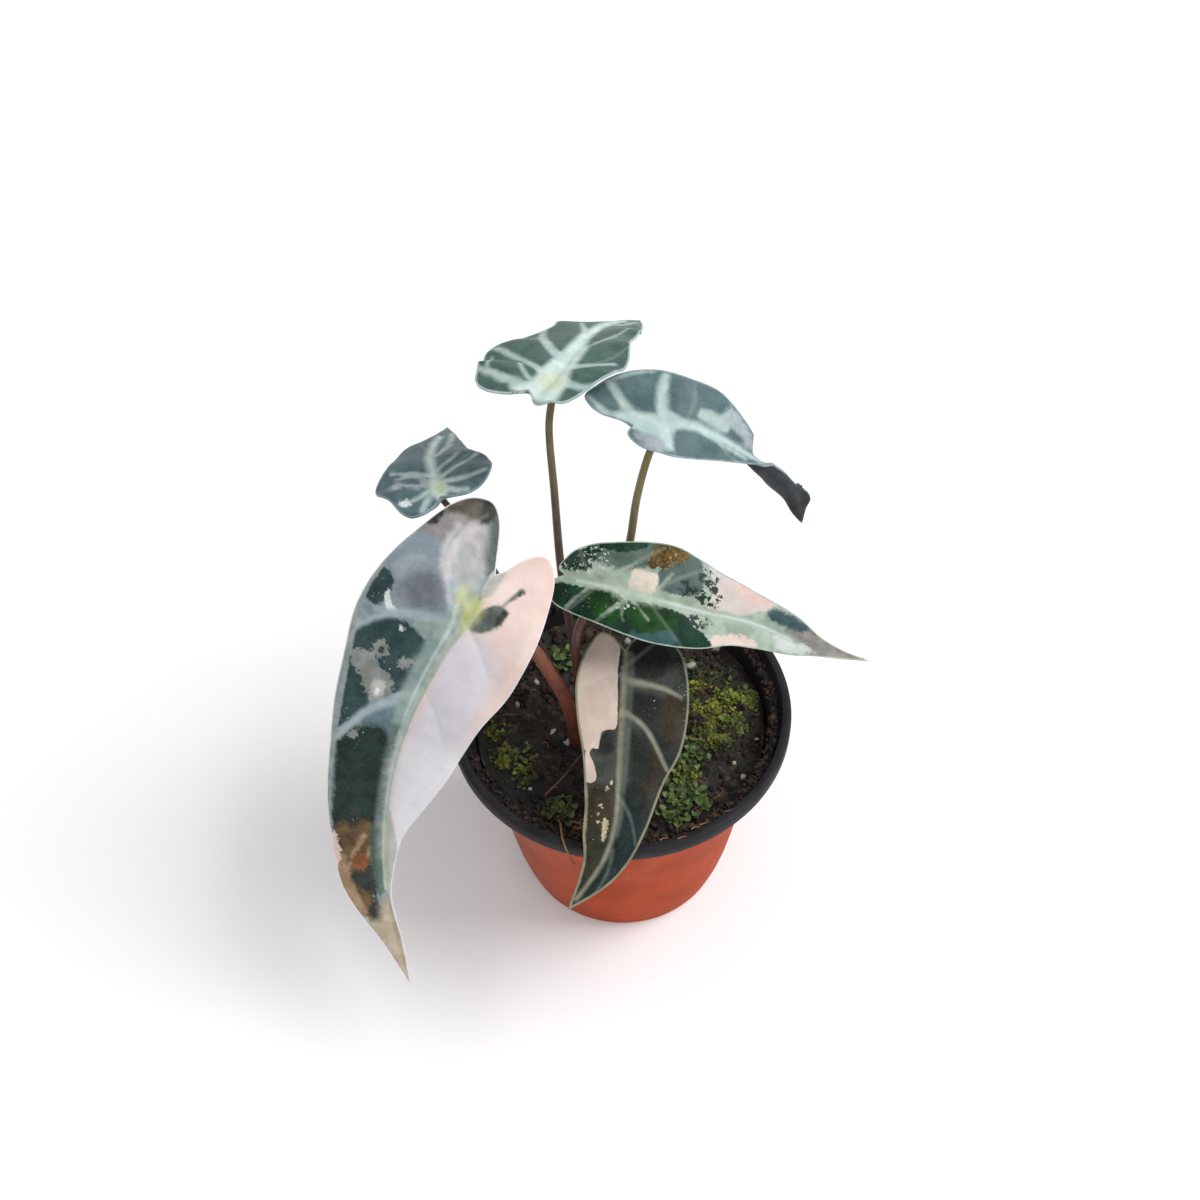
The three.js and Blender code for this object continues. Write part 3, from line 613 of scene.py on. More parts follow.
SMALL_LEFT = LeafForm(
    name="small_left", facing=(0.01, -0.35, 0.94), fold=6, camber=0.008, ruffle=(0.7, 17, 1.2),
    lobe_share=0.34, sinus=(-0.3, -5.6), base=Tint.TEAL, margin=Tint.SAGE, under=Tint.VIOLET,
    margin_width=0.5,
    spine=((-50.7, 18.5, 157), (-52.2, 26, 157), (-54.3, 37.2, 154), (-55.8, 52.1, 147),
        (-54.8, 76, 134)),
    minus_side=(-4.5, -6.6, -9, -6.2, -13.2, -3.6, -16.2, 1, -17.2, 7, -16, 13, -12.4, 17.6,
        -10.8, 24, -8, 34, -4.8, 44, -1.6, 51.5),
    plus_side=(1.9, -9, 5.1, -11.2, 9.2, -11.4, 12, -8.6, 14.6, -3.4, 17.4, 0.6, 18.5, 6.6,
        14.8, 13, 12.4, 20.4, 9.8, 26.6, 5.6, 33, 2.6, 42),
    layers=(
        Layer(Tint.VIOLET, (2, -1.4, 7, -0.4, 11, 2.4, 12, 6.6, 9, 8.8, 4.4, 7.4, 2.2, 3.4),
            (10.8, 0.8, 13.4, 0.6, 14, 4, 12, 5.4)),
        Layer(Tint.TEAL, (5, 1, 9, 2.6, 11.4, 6.4, 8, 6, 5.4, 4)),
        Layer(Tint.FROST, Vein((-1, -2, -5, -4.6, -8, -5), 1.4, 0.8), Vein((-2, 0.4, -8, 0,
            -15, 1.6), 1, 0.5), Vein((-1.6, 3, -7, 7.4, -12, 13, -13.6, 16), 1.1, 0.6),
            Vein((-1, 8, -5.6, 13.6, -7.6, 18), 0.9, 0.5), Vein((-1.2, 20, -3.8, 28, -4, 38,
            -3, 46), 1.3, 0.8), Vein((1.6, 5, 7, 8.4, 13, 10.6), 0.9, 0.4), Vein((0.6, -2, 4, -6.6,
            5.6, -10), 1.5, 0.9), Vein((2, -2, 7, -5, 12, -5.6), 0.8, 0.4)),
        Layer(Tint.MIST, Vein((-0.2, -5, 0, 0, 0.8, 9, 1.2, 19, 0.8, 30, 0.2, 42), 1.7, 0.8)),
        Layer(Tint.SNOW, (8.6, -6.6, 11.2, -6.4, 11.8, -4.8, 9.2, -4.4)),
        Layer(Tint.BUD, (-1.4, -4, 1.2, -4, 1.4, 2, -0.8, 2)),
    ),
    laterals=(
        Vein((0, 3, -5, 8, -9, 13.6, -12.6, 18), 0.6, 0.3), Vein((0, 1, -8, -0.6,
        -15, 1.2), 0.6, 0.3), Vein((0, 4, 7, 7.4, 13, 12), 0.6, 0.3), Vein((0, 0, 5, -4.6,
        11.6, -5.4), 0.5, 0.3), Vein((0, 22, -4, 29, -7, 35), 0.5, 0.3), Vein((0, 24, 4, 30,
        5, 33), 0.5, 0.3),
    ),
    stalk=Stalk((-15.5, -1.5), ((-18.5, 1, 88), (-28, 8, 113), (-42, 18.5, 138), (-50.5, 25, 150)),
        (1.6, 1.8, 1), ("#5b3630", "#5a3d33", "#575046")),
)

TOP_MIDDLE = LeafForm(
    name="top_middle", facing=(-0.15, -0.29, 0.94), fold=6, camber=0.008, ruffle=(1, 21, 0),
    lobe_share=0.36, sinus=(-4.4, -7.9), base=Tint.SEA, margin=Tint.FROST, under=Tint.VIOLET,
    margin_width=0.6,
    spine=((-20.6, 23.6, 192), (-16.8, 30.2, 192), (-12, 43.5, 189), (-7.3, 59.7, 183),
        (-1.7, 76.5, 174), (9.3, 96.4, 160)),
    minus_side=(-7.2, -6.8, -9.4, -3, -12, 2.2, -15, 7.6, -16.4, 17, -14.8, 26, -13.2, 34,
        -13.4, 41, -12.8, 48, -10.4, 57, -7.4, 65, -4.2, 72),
    plus_side=(-2.4, -9.8, 0.4, -9.4, 2.8, -7.6, 8, -10.8, 13.7, -11.6, 19, -9.4, 22, -5.4,
        24.4, 7, 26.6, 17, 23.6, 22.5, 23.4, 29.5, 20, 34.6, 15.6, 37, 13, 40.4, 13.4, 44.6,
        13.2, 47.8, 10.8, 48.8, 7.2, 49.6, 3.6, 53.4, 1.5, 60, 1.2, 70),
    layers=(
        Layer(Tint.FROST, Vein((2, 1, 9, 6, 15, 11.6, 22, 17.6, 26, 19.6), 1.6, 0.8), Vein((3, -5,
            9, -6, 16, -5.4, 23, -4.8), 1.7, 0.8), Vein((2, 12, 8, 20, 12.4, 28,
            15, 37), 1.8, 1.1), Vein((19.4, -4, 20.4, 4, 23.6, 14), 0.7, 0.4), Vein((6, -3, 9, 0,
            12, 5), 0.8, 0.4), Vein((1, 34, 4, 43, 6, 47), 1.2, 0.6), Vein((-3, 0, -9, 0,
            -13, 1.6), 1.3, 0.6), Vein((-3, 8, -9, 11, -13, 14), 1.4, 1), Vein((-4, 24, -7.4, 34,
            -9.6, 46), 0.6, 0.2), Vein((-1, 48, -3.4, 60, -3, 70), 0.8, 0.4)),
        Layer(Tint.MIST, (-5, -8, -1, -10, 3, -8.6, 6, -9, 9, -8, 5.4, -5, 4.6, -1, 5, 4, 4.4, 9,
            3.4, 14, 2.4, 20, -2.4, 24, -3.4, 14, -3.4, 5, -4.6, 1, -5, -3), Vein((0, 10, 0.4, 24,
            0.2, 40, 0.2, 54, 0, 68), 2.8, 0.6)),
        Layer(Tint.BUD, (-4, -4, 2, -3.6, 3, 1, 0.6, 4, -2, 2.6)),
    ),
    laterals=(
        Vein((0, 2, 7, 6.4, 15, 13, 24, 21), 0.7, 0.3), Vein((0, 0, 8, -3.8, 22, -5.4), 0.6, 0.3),
        Vein((0, 12, 7, 20, 12, 29, 15, 36), 0.7, 0.3), Vein((0, 34, 4, 43, 7, 50), 0.5, 0.3),
        Vein((0, 1, -8, -0.4, -11, 2), 0.5, 0.3), Vein((0, 6, -7, 11, -12, 18,
        -14.6, 24), 0.7, 0.3), Vein((0, 20, -6, 29, -10, 38), 0.6, 0.3), Vein((0, 40, -4, 50,
        -6, 58), 0.5, 0.3),
    ),
    stalk=Stalk((-11.2, -1), ((-12.6, 3.6, 92), (-15.3, 11.6, 111), (-17, 16, 130),
        (-17.8, 22.2, 156.4), (-18.3, 27.4, 178)), (1.6, 1.75, 1.1), ("#4a2f2c", "#4e3b30",
        "#665a3c")),
)

TOP_RIGHT = LeafForm(
    name="top_right", facing=(0.01, -0.52, 0.85), fold=8, camber=0.01, ruffle=(0.7, 26, 2.4),
    lobe_share=0.34, sinus=(-0.2, -9.4), base=Tint.MARSH, margin=Tint.SAGE, under=Tint.PLUM,
    margin_width=0.5, roll=(0, 0, 0, 0, -40, -120, -150, -160), tuck=(0, 0, 0, 0, -80, -30, 0, 0),
    spine=((7.4, 26.8, 178), (14.5, 27.4, 178), (24.5, 28.2, 175), (38.8, 31.2, 162.6),
        (43, 32.6, 157.4), (46.6, 34.2, 153), (54, 38, 139.6), (59, 41, 122)),
    minus_side=(-2.4, -11, -5, -9.6, -7.6, -6.4, -9.4, -1.6, -10.2, 5, -9.4, 12, -7.2, 20, -5, 27,
        -3.4, 32, -2, 36.6, -1.4, 42, -1.8, 49, -1.8, 54, -2.4, 58.6, -4.4, 63, -4.6, 66.6,
        -2.8, 70, -1.2, 74),
    plus_side=(1.4, -12.4, 3.8, -18, 6.4, -20.8, 9.6, -22, 12.6, -18, 14.6, -13.6, 15.8, -6,
        15.2, 1, 13.6, 7, 12, 14, 9.8, 20, 7.4, 26, 5.2, 31, 4.2, 36, 4.4, 42, 4.8, 49, 4.2, 56,
        3.2, 63, 2.2, 70),
    layers=(
        Layer(Tint.FROST, (1.2, 14, 3, 9.4, 5, 10, 5.4, 16, 8, 19, 6, 21, 1.4, 20), Vein((2, -0.4,
            7, -0.6, 13.6, 0.4), 1.7, 1), Vein((2.6, -9, 7, -11.6, 13.6, -15), 1.5, 0.9),
            Vein((1.6, -12, 4.4, -17, 9, -21), 1.1, 0.6), Vein((13.6, -14.6, 14.8, -8,
            15, -2), 0.6, 0.4), Vein((-1.4, 12, -2.4, 20, -2.6, 30), 0.6, 0.4)),
        Layer(Tint.VIOLET, (-9.4, -1.6, -7, -7, -3.4, -9, -2, -4, -6, 0.6), (3.4, 20, 8.6, 18,
            7, 25, 4, 29.6, 1, 32, 0.6, 27, 2, 22.6)),
        Layer(Tint.MARSH, (1.2, 21, 3, 20.6, 2.6, 25, 1.4, 28)),
        Layer(Tint.FOAM, (-8, 0, -5, -1.6, -3, -6, -1, -10, 1.4, -12.6, 3.6, -14, 3.4, -9, 2.6, -3,
            2.4, 3, -1.2, 5, -3.2, 2.6, -8, 2.4), Vein((0, 0, -0.2, 8, -0.6, 18, -1, 30,
            -1, 37), 1.7, 0.5)),
    ),
    laterals=(
        Vein((0, 0, 7, -0.2, 14, 1), 0.8, 0.4), Vein((0, -1, 5, -9, 9, -13.4,
        13.6, -15.6), 0.8, 0.4), Vein((0, 6, 6, 7.8, 12, 7.8), 0.5, 0.3), Vein((0, 1, -5, 1.6,
        -9.4, 3), 0.6, 0.3), Vein((0, 14, -4, 22, -5, 28), 0.5, 0.3), Vein((0, 12, 4, 17,
        7, 22), 0.5, 0.3),
    ),
    stalk=Stalk((-7, -2.2), ((-5.6, 4.4, 97), (-1, 11.6, 120), (4, 17.6, 139), (6.3, 21.4, 154),
        (10, 25.2, 168)), (1.6, 1.7, 1.15), ("#4c302b", "#5a4636", "#7c7749")),
)

RIGHT = LeafForm(
    name="right", facing=(0.01, -0.56, 0.83), fold=8, camber=0.008, ruffle=(0.8, 22, 0.9),
    lobe_share=0.3, sinus=(-0.3, -12.4), base=Tint.PISTACHIO, margin=Tint.PISTACHIO,
    under=Tint.OLIVE_GREY, margin_width=0.4,
    spine=((-12.3, 3.7, 140), (-3.6, 0.7, 140), (9.4, -2.9, 138), (24, -4.3, 133),
        (41.4, -3.6, 125), (57.3, -6.4, 117), (76.6, -3.6, 106)),
    minus_side=(-2.8, -15.6, -6, -16.4, -9.2, -13.4, -10.8, -8, -12, 0.5, -12.9, 9.6, -13.1, 19,
        -11.6, 30, -8.6, 40, -7.3, 50, -5, 60, -2.4, 68, -1.2, 78),
    plus_side=(1.2, -14.6, 4, -13.6, 7.2, -11.4, 10, -7, 12.2, -0.6, 15, 7.8, 16, 16.6, 14.2, 26.4,
        11, 37.4, 8.2, 48, 6.6, 60, 3.2, 71, 1.2, 80),
    layers=(
        Layer(Tint.PEWTER, (1, 58, 5, 58, 11, 64, 6, 90, -1.6, 92, -2.4, 70), Vein((-3, 66,
            -1.6, 76, 0, 92), 1, 1)),
        Layer(Tint.UMBER, Vein((6.6, 60, 3.8, 71, 1.4, 80, 0.4, 90), 0.7, 0.5)),
        Layer(Tint.MILK, (-5, 57, -0.8, 54, 0.4, 60, -1, 68, -3, 64)),
        Layer(Tint.ROSE, (0.8, 31, 5, 32, 9.6, 31, 17, 27, 16, 38, 9.4, 47, 7.8, 50, 5.4, 50.6,
            3, 46.4, 0.8, 43)),
        Layer(Tint.PETAL, (-10.6, 33, -7.2, 34, -5.6, 39, -5, 45, -6.6, 50, -9.6, 48)),
        Layer(Tint.PEACH, (6, 41, 9, 39, 13, 38, 11, 46, 8, 51, 5.4, 49)),
        Layer(Tint.MOSSY, (6, -5, 10, -4, 12, 3, 16.6, 9, 16.6, 15, 10, 12, 6.8, 9, 5, 2)),
        Layer(Tint.FOREST, (-13, -16, -3.6, -15, -2.8, -6, -2.6, 2, -3.6, 6.6, -2.6, 10, -2.2, 20,
            -2.8, 25, -5.4, 28.4, -7.4, 32, -10.6, 35, -13.6, 28, -14.6, 18, -14.4, 5, -13, -6),
            (1.6, -15, 6, -15, 12, -9, 15, -2, 17, 8, 14, 9, 10.6, 4, 8.6, -3.4, 5, -4.6,
            2.6, -6)),
        Layer(Tint.PINE, (-14, 11, -9, 12, -8, 20, -10, 24, -14, 22)),
        Layer(Tint.SMOKE, (3, 16, 7, 14, 11, 18, 16, 19, 15.6, 25, 9, 28.4, 4, 27.4, 2.4, 21)),
        Layer(Tint.VIVID, (-9.6, -1, -3, -4, -2.6, 8, -9.6, 8), (-10.6, 10, -3, 9, -2.8, 20,
            -6, 23, -10, 18)),
        Layer(Tint.SALT, (1.4, -14, 6, -13.6, 9.6, -8, 9.4, -3, 5, -2, 1.6, -4), (-5.6, 6.6,
            -3, 5.6, -2.4, 8.6, -4.6, 9)),
        Layer(Tint.DOTS, (-9, -9, -5, -9, -4, 2, -7, 5, -9, 0)),
        Layer(Tint.PEPPER, (2.2, 28.4, 5.6, 28, 7.4, 31, 5.6, 34.4, 2.4, 33.4), (7.4, 27,
            10.4, 26.6, 11, 31.8, 8.4, 32.6), (3.4, 21.8, 6, 21.8, 6.2, 25.6, 4, 26), (-4.8, 27.4,
            -1.4, 27, -1.4, 31.6, -4.4, 32), (3, -13, 7, -11.4, 7.6, -8, 4, -7)),
        Layer(Tint.LAKE, (3, 50.6, 5.4, 50.6, 6.4, 54, 6.2, 59.4, 5.2, 64, 3.6, 63, 2.4, 59,
            2.2, 54)),
        Layer(Tint.OCHRE, (8, 11.8, 10.6, 10, 13, 11, 17, 14, 16.6, 20, 13.4, 22, 11, 18.6,
            8.6, 15)),
        Layer(Tint.STRAW, (9, 12, 14, 13, 15, 19, 12, 19.6, 9.6, 15)),
        Layer(Tint.CLOVE, (8.6, 11.4, 14.6, 12, 16, 19, 12, 20, 9.4, 16)),
        Layer(Tint.LEAFMIST, Vein((-2, -4, -6, -7, -10, -9.6), 0.35, 0.05), Vein((-2, 7.6, -6, 5,
            -9.6, 1.6), 0.4, 0.08), Vein((-2, 7.6, -6, 7, -9, 8), 0.3, 0.05), Vein((-2, 8.6,
            -5, 12.4, -7, 15), 0.3, 0.05), Vein((0, 0, 5, 4, 8, 7), 0.7, 0.2), Vein((0, 14,
            4, 16.2, 8, 18.4), 0.6, 0.2), Vein((-0.8, -14, -0.6, -4, -0.5, 8, -0.3, 24, -0.2, 46,
            0, 62), 1.7, 0.8)),
        Layer(Tint.RIBLINE, Vein((-1.2, -8, -0.6, 10, -0.4, 30, -0.2, 60), 0.5, 0.4)),
        Layer(Tint.DEW, (-2.2, 4, 1.6, 3, 3.8, 7, 3, 13, -1, 17, -2.6, 11)),
        Layer(Tint.CREAM, (0.6, 7, 3.4, 6.8, 6, 6.9, 6.5, 7.6, 6.5, 10.6, 6.4, 14, 5.8, 14.6,
            3.2, 14.8, 1, 14.4, 0.5, 11)),
    ),
    laterals=(
        Vein((0, -1, -6, -5.4, -10.6, -9), 0.6, 0.3), Vein((0, 8, -6, 5, -11.6, 0.6), 0.6, 0.3),
        Vein((0, 12, -6, 19, -12, 26), 0.25, 0.05), Vein((0, 32, -5, 39, -7.6, 46), 0.5, 0.3),
        Vein((0, 0, 5, 4, 10, 9, 14.6, 14), 0.7, 0.3), Vein((0, 14, 5, 18, 10, 25,
        13, 30), 0.6, 0.3), Vein((0, 34, 5, 41, 8, 48), 0.5, 0.3), Vein((0, -2, 4, -7,
        7.6, -9.6), 0.5, 0.3),
    ),
    stalk=Stalk((-9.2, -7.5), ((-10.4, -5.8, 87), (-12.6, -4.6, 102), (-11.6, -2.4, 124)), (1.6,
        1.9, 1.3), ("#5a322c", "#5e3731", "#59443a")),
)

FRONT = LeafForm(
    name="front", facing=(0.01, -0.65, 0.76), fold=8, camber=0.008, ruffle=(0.6, 25, 0.4),
    lobe_share=0.26, sinus=(0.4, -6), base=Tint.COAL, margin=Tint.SEDGE, under=Tint.OLIVE_GREY,
    margin_width=0.7,
    spine=((1.6, -1.3, 116), (1.4, -10.5, 114), (0.5, -20.6, 106), (-0.7, -34.6, 97),
        (-2, -49.2, 90), (-5.8, -58.6, 83), (-16.6, -69.2, 74)),
    minus_side=(-3.4, -10.6, -7, -11.8, -10.6, -7.4, -13, -1.4, -14.2, 5, -13.4, 15, -10.8, 28,
        -9.8, 40, -8.8, 52, -5.6, 61, -2.6, 69),
    plus_side=(2.4, -8.8, 5.4, -11, 9.6, -11.2, 14, -9.2, 17, -5, 19.4, 3, 20, 13, 18.2, 24,
        13.4, 34.5, 10, 44, 7.2, 54, 3.4, 67),
    layers=(
        Layer(Tint.CINDER, (-1.6, 18, -1.4, 34, -6, 37, -11, 38, -14, 16), (1, -4, 5, -2, 16, 1,
            19, 8, 14, 9, 6, 7.4, 1, 7), (1, 14, 6, 17, 5, 24, 3, 34, 1, 34)),
        Layer(Tint.BARK, (-1.6, 35, -1.4, 50, -4, 56, -9, 52, -11, 38), (11, 9, 16, 8, 19, 12,
            18, 20, 14, 22, 11.6, 16), (7, 26, 12, 25, 12, 34, 8, 38)),
        Layer(Tint.PITCH, (3, -7, 9, -10, 13, -4, 11, 2, 4, 2.4), (3, 8.4, 10, 7.6, 12, 12,
            11, 15.6, 6, 13.4, 3, 12), (3, 17.6, 6.4, 20, 10, 27, 8, 34, 4, 33, 3, 26), (-8, 20,
            -2.4, 19.6, -2.4, 25, -7, 26)),
        Layer(Tint.WATER, (1.6, 36, 6, 40, 8, 50, 5, 62, 1.8, 70, 0.8, 56)),
        Layer(Tint.TURF, (-1.6, 50, -1.2, 70, -5, 66, -10, 54, -5, 51)),
        Layer(Tint.SPECK, (-6, 33, -1.8, 33, -3, 38, -4, 52, -6, 52, -7, 42)),
        Layer(Tint.IVORY, (-2.6, 34, -1.9, 34, -1.9, 34.9, -2.5, 34.9), (-3.8, 35.8, -3.1, 35.8,
            -3.1, 36.8, -3.7, 36.8), (-5.4, 41.4, -4.6, 41.2, -4.5, 42.4, -5.2, 42.4), (-5.6, 46.3,
            -5, 46.3, -5, 47.2, -5.5, 47.2), (-5.8, 44.2, -5.3, 44.2, -5.3, 44.8, -5.8, 44.8)),
        Layer(Tint.DOTS, (6.8, 12, 8, 12, 8, 13.2, 6.8, 13.2), (9.6, 10, 11, 10, 11, 11.2,
            9.6, 11.2), (17, 0, 18.6, 2, 19, 14, 17.6, 16, 17, 8)),
        Layer(Tint.FILM, Vein((2, -4, 2.2, 14, 1.6, 34, 1, 50), 1, 0.4), Vein((1, 54, 2.6, 62,
            3, 68), 0.4, 0.2)),
        Layer(Tint.REED, Vein((0.4, 0, 0.3, 20, 0, 44, -0.4, 62, -0.2, 72), 1, 0.45), Vein((1.6, 4,
            8, 4.8, 13, 5.8, 17.6, 8), 1.1, 0.3), Vein((1, 13, 6, 16.4, 10, 21.6, 12.6, 27,
            14.5, 30), 0.6, 0.3), Vein((0.6, -8, 0.5, 0), 0.5, 0.7)),
        Layer(Tint.SEDGE, Vein((-11, 28, -9.9, 40, -8.9, 52, -5.8, 61, -2.8, 69), 1.1, 0.9)),
        Layer(Tint.SHELL, (-1.3, -8, -6.6, -15, -14, -9, -17.4, 3, -16.4, 14, -13, 23, -10.6, 25,
            -9, 25.2, -8.4, 24.4, -6.6, 24.6, -6.2, 22, -5.6, 19.4, -4, 18.6, -1.6, 18.3, -1.5, 8,
            -1.8, 0), (-9.8, 24, -8.6, 26.8, -7, 31, -6.6, 33.4, -8, 34.8, -10, 34)),
        Layer(Tint.IVORY, (-3.6, 45.4, -2.5, 46, -2.2, 49, -2.5, 53, -3.2, 51.6, -3.8, 48)),
    ),
    laterals=(
        Vein((0, 3, 8, 4.6, 16, 7), 0.7, 0.3), Vein((0, 13, 7, 17.4, 11, 23.4,
        14.5, 30), 0.7, 0.3), Vein((0, 38, 4, 44, 7, 51), 0.3, 0.1), Vein((0, 2, -6, 3,
        -13.6, 8), 0.6, 0.3), Vein((0, 14, -5, 19, -10, 27), 0.3, 0.1), Vein((0, 0, 5, -4,
        10, -8.6), 0.5, 0.3),
    ),
    stalk=Stalk((-4.8, -6.5), ((-3.6, -5, 87), (-0.6, -6.4, 101)), (1.6, 1.7, 1.2), ("#5a342e",
        "#5f4137", "#5b4c3c")),
)


class BladeSurface:
    """The curved surface that one leaf's flat outline is laid on, in mm."""

    samples = 1680

    def __init__(self, form: LeafForm) -> None:
        """Measures the leaf's spine.

        Args:
            form: The leaf.
        """
        self.form = form
        self.shares = np.linspace(0, 1, self.samples + 1)
        self.line = catmull_rom(np.array(form.spine, float), self.shares)
        run = run_of(self.line)
        self.run = run - run[self.samples // (len(form.spine) - 1)]
        self.length = self.run[-1]
        tangents = np.gradient(self.line, axis=0)
        self.tangents = tangents / np.linalg.norm(tangents, axis=1)[:, None]

    def frame_at(
        self, x: np.ndarray, y: np.ndarray,
    ) -> tuple[np.ndarray, np.ndarray, np.ndarray]:
        """Finds the spine at a distance from the petiole.

        Args:
            x: Distances from the midrib, above 0 in the half that a tuck turns further.
            y: Distances along the midrib.

        Returns:
            The spine's points, and the blade's upward and sideways directions there.
        """
        inside = np.clip(y, self.run[0], self.length)
        share = np.interp(inside, self.run, self.shares)

        def at(rows: np.ndarray) -> np.ndarray:
            """Reads a table of rows between its samples."""
            return np.stack([np.interp(share, self.shares, rows[:, k]) for k in range(3)], -1)

        tangent = at(self.tangents)
        tangent /= np.linalg.norm(tangent, axis=1)[:, None]
        centre = at(self.line) + tangent * (y - inside)[:, None]
        knots = len(self.form.spine)
        station = share * (knots - 1)
        before = np.minimum(np.floor(station).astype(int), knots - 2)
        blend = np.clip(station - before, 0, 1)
        blend = blend * blend * (3 - 2 * blend)
        angles = np.zeros((knots, 2)) + np.array(self.form.roll)[:, None]
        angles[:, 1] += self.form.tuck
        half = (x > 0).astype(int)
        low, high = angles[before, half], angles[before + 1, half]
        turn = np.radians(low * (1 - blend) + high * blend)[:, None]
        facing = np.array(self.form.facing)
        up = facing - (tangent @ facing)[:, None] * tangent
        up /= np.linalg.norm(up, axis=1)[:, None]
        up = up * np.cos(turn) + np.cross(tangent, up) * np.sin(turn)
        return centre, up, np.cross(up, tangent)

    def point(self, flat: np.ndarray) -> np.ndarray:
        """Lays flat points on the upper face of the blade.

        Args:
            flat: Rows of x, y.

        Returns:
            Rows of x, y, z.
        """
        x, y = flat[:, 0], flat[:, 1]
        centre, up, across = self.frame_at(x, y)
        ruffle, length, phase = self.form.ruffle
        reach = np.abs(x)
        wave = np.sin(2 * np.pi * y / length + phase + np.where(x > 0, 1.3, 0))
        height = reach * math.tan(math.radians(self.form.fold)) - self.form.camber * reach ** 2
        height += ruffle * np.minimum(reach / 15, 1.2) ** 2 * wave
        return centre + across * x[:, None] + up * height[:, None]

    def normal(self, flat: np.ndarray) -> np.ndarray:
        """Finds the direction that the upper face looks in.

        Args:
            flat: Rows of x, y.

        Returns:
            Rows of x, y, z, each one mm long.
        """
        step = 0.2
        sideways = self.point(flat + (step, 0)) - self.point(flat - (step, 0))
        along = self.point(flat + (0, step)) - self.point(flat - (0, step))
        normal = np.cross(along, sideways)
        return normal / np.linalg.norm(normal, axis=1)[:, None]


class Side(Enum):
    """The three skins of a blade."""

    UPPER = "upper"
    LOWER = "lower"
    MARGIN = "margin"


@dataclass(frozen=True)
class BladeSkin:
    """Waxy leaf skin: satin gloss over tints that end in ragged patches.

    The eye gets the marbled halves, the pale sunken veins and a fine net of veinlets.
    """

    form: LeafForm
    side: Side
    mottle_size: float = 5.0
    veinlet_size: float = 1.5

    def build(self) -> Material:
        """Makes the material."""
        material, add, place = start_material(f"waxy_leaf_skin_{self.form.name}_{self.side.value}")

        @cache
        def wander(grain: float) -> Socket:
            """Noise about 0 of this grain, made once for each size.

            Args:
                grain: How wide each wandering is, in mm.

            Returns:
                The noise.
            """
            ragged = add("TexNoise", {
                "Vector": place, "Scale": 1 / (grain * MM), "Detail": 5.0, "Roughness": 0.62,
            })
            return add("Math", [ragged, 0.5], operation="SUBTRACT")

        mottle = add("TexNoise", {
            "Vector": place, "Scale": 1 / (self.mottle_size * MM), "Detail": 6.0, "Roughness": 0.6,
        })
        drift = add("MapRange", [mottle, 0.36, 0.64], interpolation_type="SMOOTHSTEP")

        def tone(tint: Tint) -> Socket:
            """A tint's two colours, drifting into each other."""
            colours = {FACTOR: drift, FIRST: linear(tint.dark), SECOND: linear(tint.light)}
            return add("Mix", colours, RESULT, data_type="RGBA")

        def reach(
            name: str, low: float, high: float, ragged: float, grain: float = 2.6,
            cap: float = 50.0,
        ) -> Socket:
            """Turns a stored depth into a share whose border wanders.

            Args:
                name: The stored depth.
                low: The depth, in mm, that gives 0.
                high: The depth that gives 1.
                ragged: How far the border wanders, in mm.
                grain: How wide each wandering is, in mm.
                cap: The largest depth that counts.

            Returns:
                The share from 0 to 1.
            """
            depth = add("Attribute", [], "Fac", attribute_type="GEOMETRY", attribute_name=name)
            capped = add("Math", [depth, cap], operation="MINIMUM")
            moved = add("Math", [wander(grain), ragged * 3.0, capped], operation="MULTIPLY_ADD")
            return add("MapRange", [moved, low, high], interpolation_type="SMOOTHSTEP")

        # Every coat's share and colour, the lowest one first.
        coats: list[tuple[Socket | float, Any]] = []
        for number, layer in enumerate(self.form.layers):
            tint = layer.tint
            soft = tint.edge / 2
            mask = reach(f"coat_{number}", -soft, soft, tint.ragged, tint.grain, tint.cap)
            coats.append((mask, tone(tint)))
        faint = add("Math", [reach("vein", -0.7, 0.3, 0.12), 0.12], operation="MULTIPLY")
        coats.append((faint, linear("#c9d3c6")))
        veinlets = {"Vector": place, "Scale": 1 / (self.veinlet_size * MM)}
        cells = add("TexVoronoi", veinlets, "Distance", feature="DISTANCE_TO_EDGE")
        net = add("MapRange", [cells, 0.0, 0.16, 0.014, 0.0])
        coats.append((net, linear("#d4dcd0")))
        width = self.form.margin_width
        rim = reach("margin", width * 1.25, width * 0.55, 0.1)
        coats.append((rim, tone(self.form.margin)))
        roughness = 0.42
        if self.side is Side.LOWER:
            roughness = 0.6
            coats.append((0.78, tone(self.form.under)))
        colour = tone(self.form.base)
        for share, coat in coats:
            mixed = {FACTOR: share, FIRST: colour, SECOND: coat}
            colour = add("Mix", mixed, RESULT, data_type="RGBA")
        if self.side is Side.MARGIN:
            colour = tone(self.form.margin)

        swell = add("TexNoise", {"Vector": place, "Scale": 1 / (3.5 * MM), "Detail": 3.0})
        relief = add("Math", [net, -9.0, swell], operation="MULTIPLY_ADD")
        bump = add("Bump", {"Strength": 0.35, "Distance": 0.25 * MM, "Height": relief})
        gloss = add("MapRange", [mottle, 0.3, 0.7, roughness - 0.06, roughness + 0.08])
        skin = add("BsdfPrincipled", {
            "Base Color": colour, "Roughness": gloss, "Normal": bump, "IOR": 1.42,
            "Specular IOR Level": 0.17,
        })
        add("OutputMaterial", [skin])
        return material


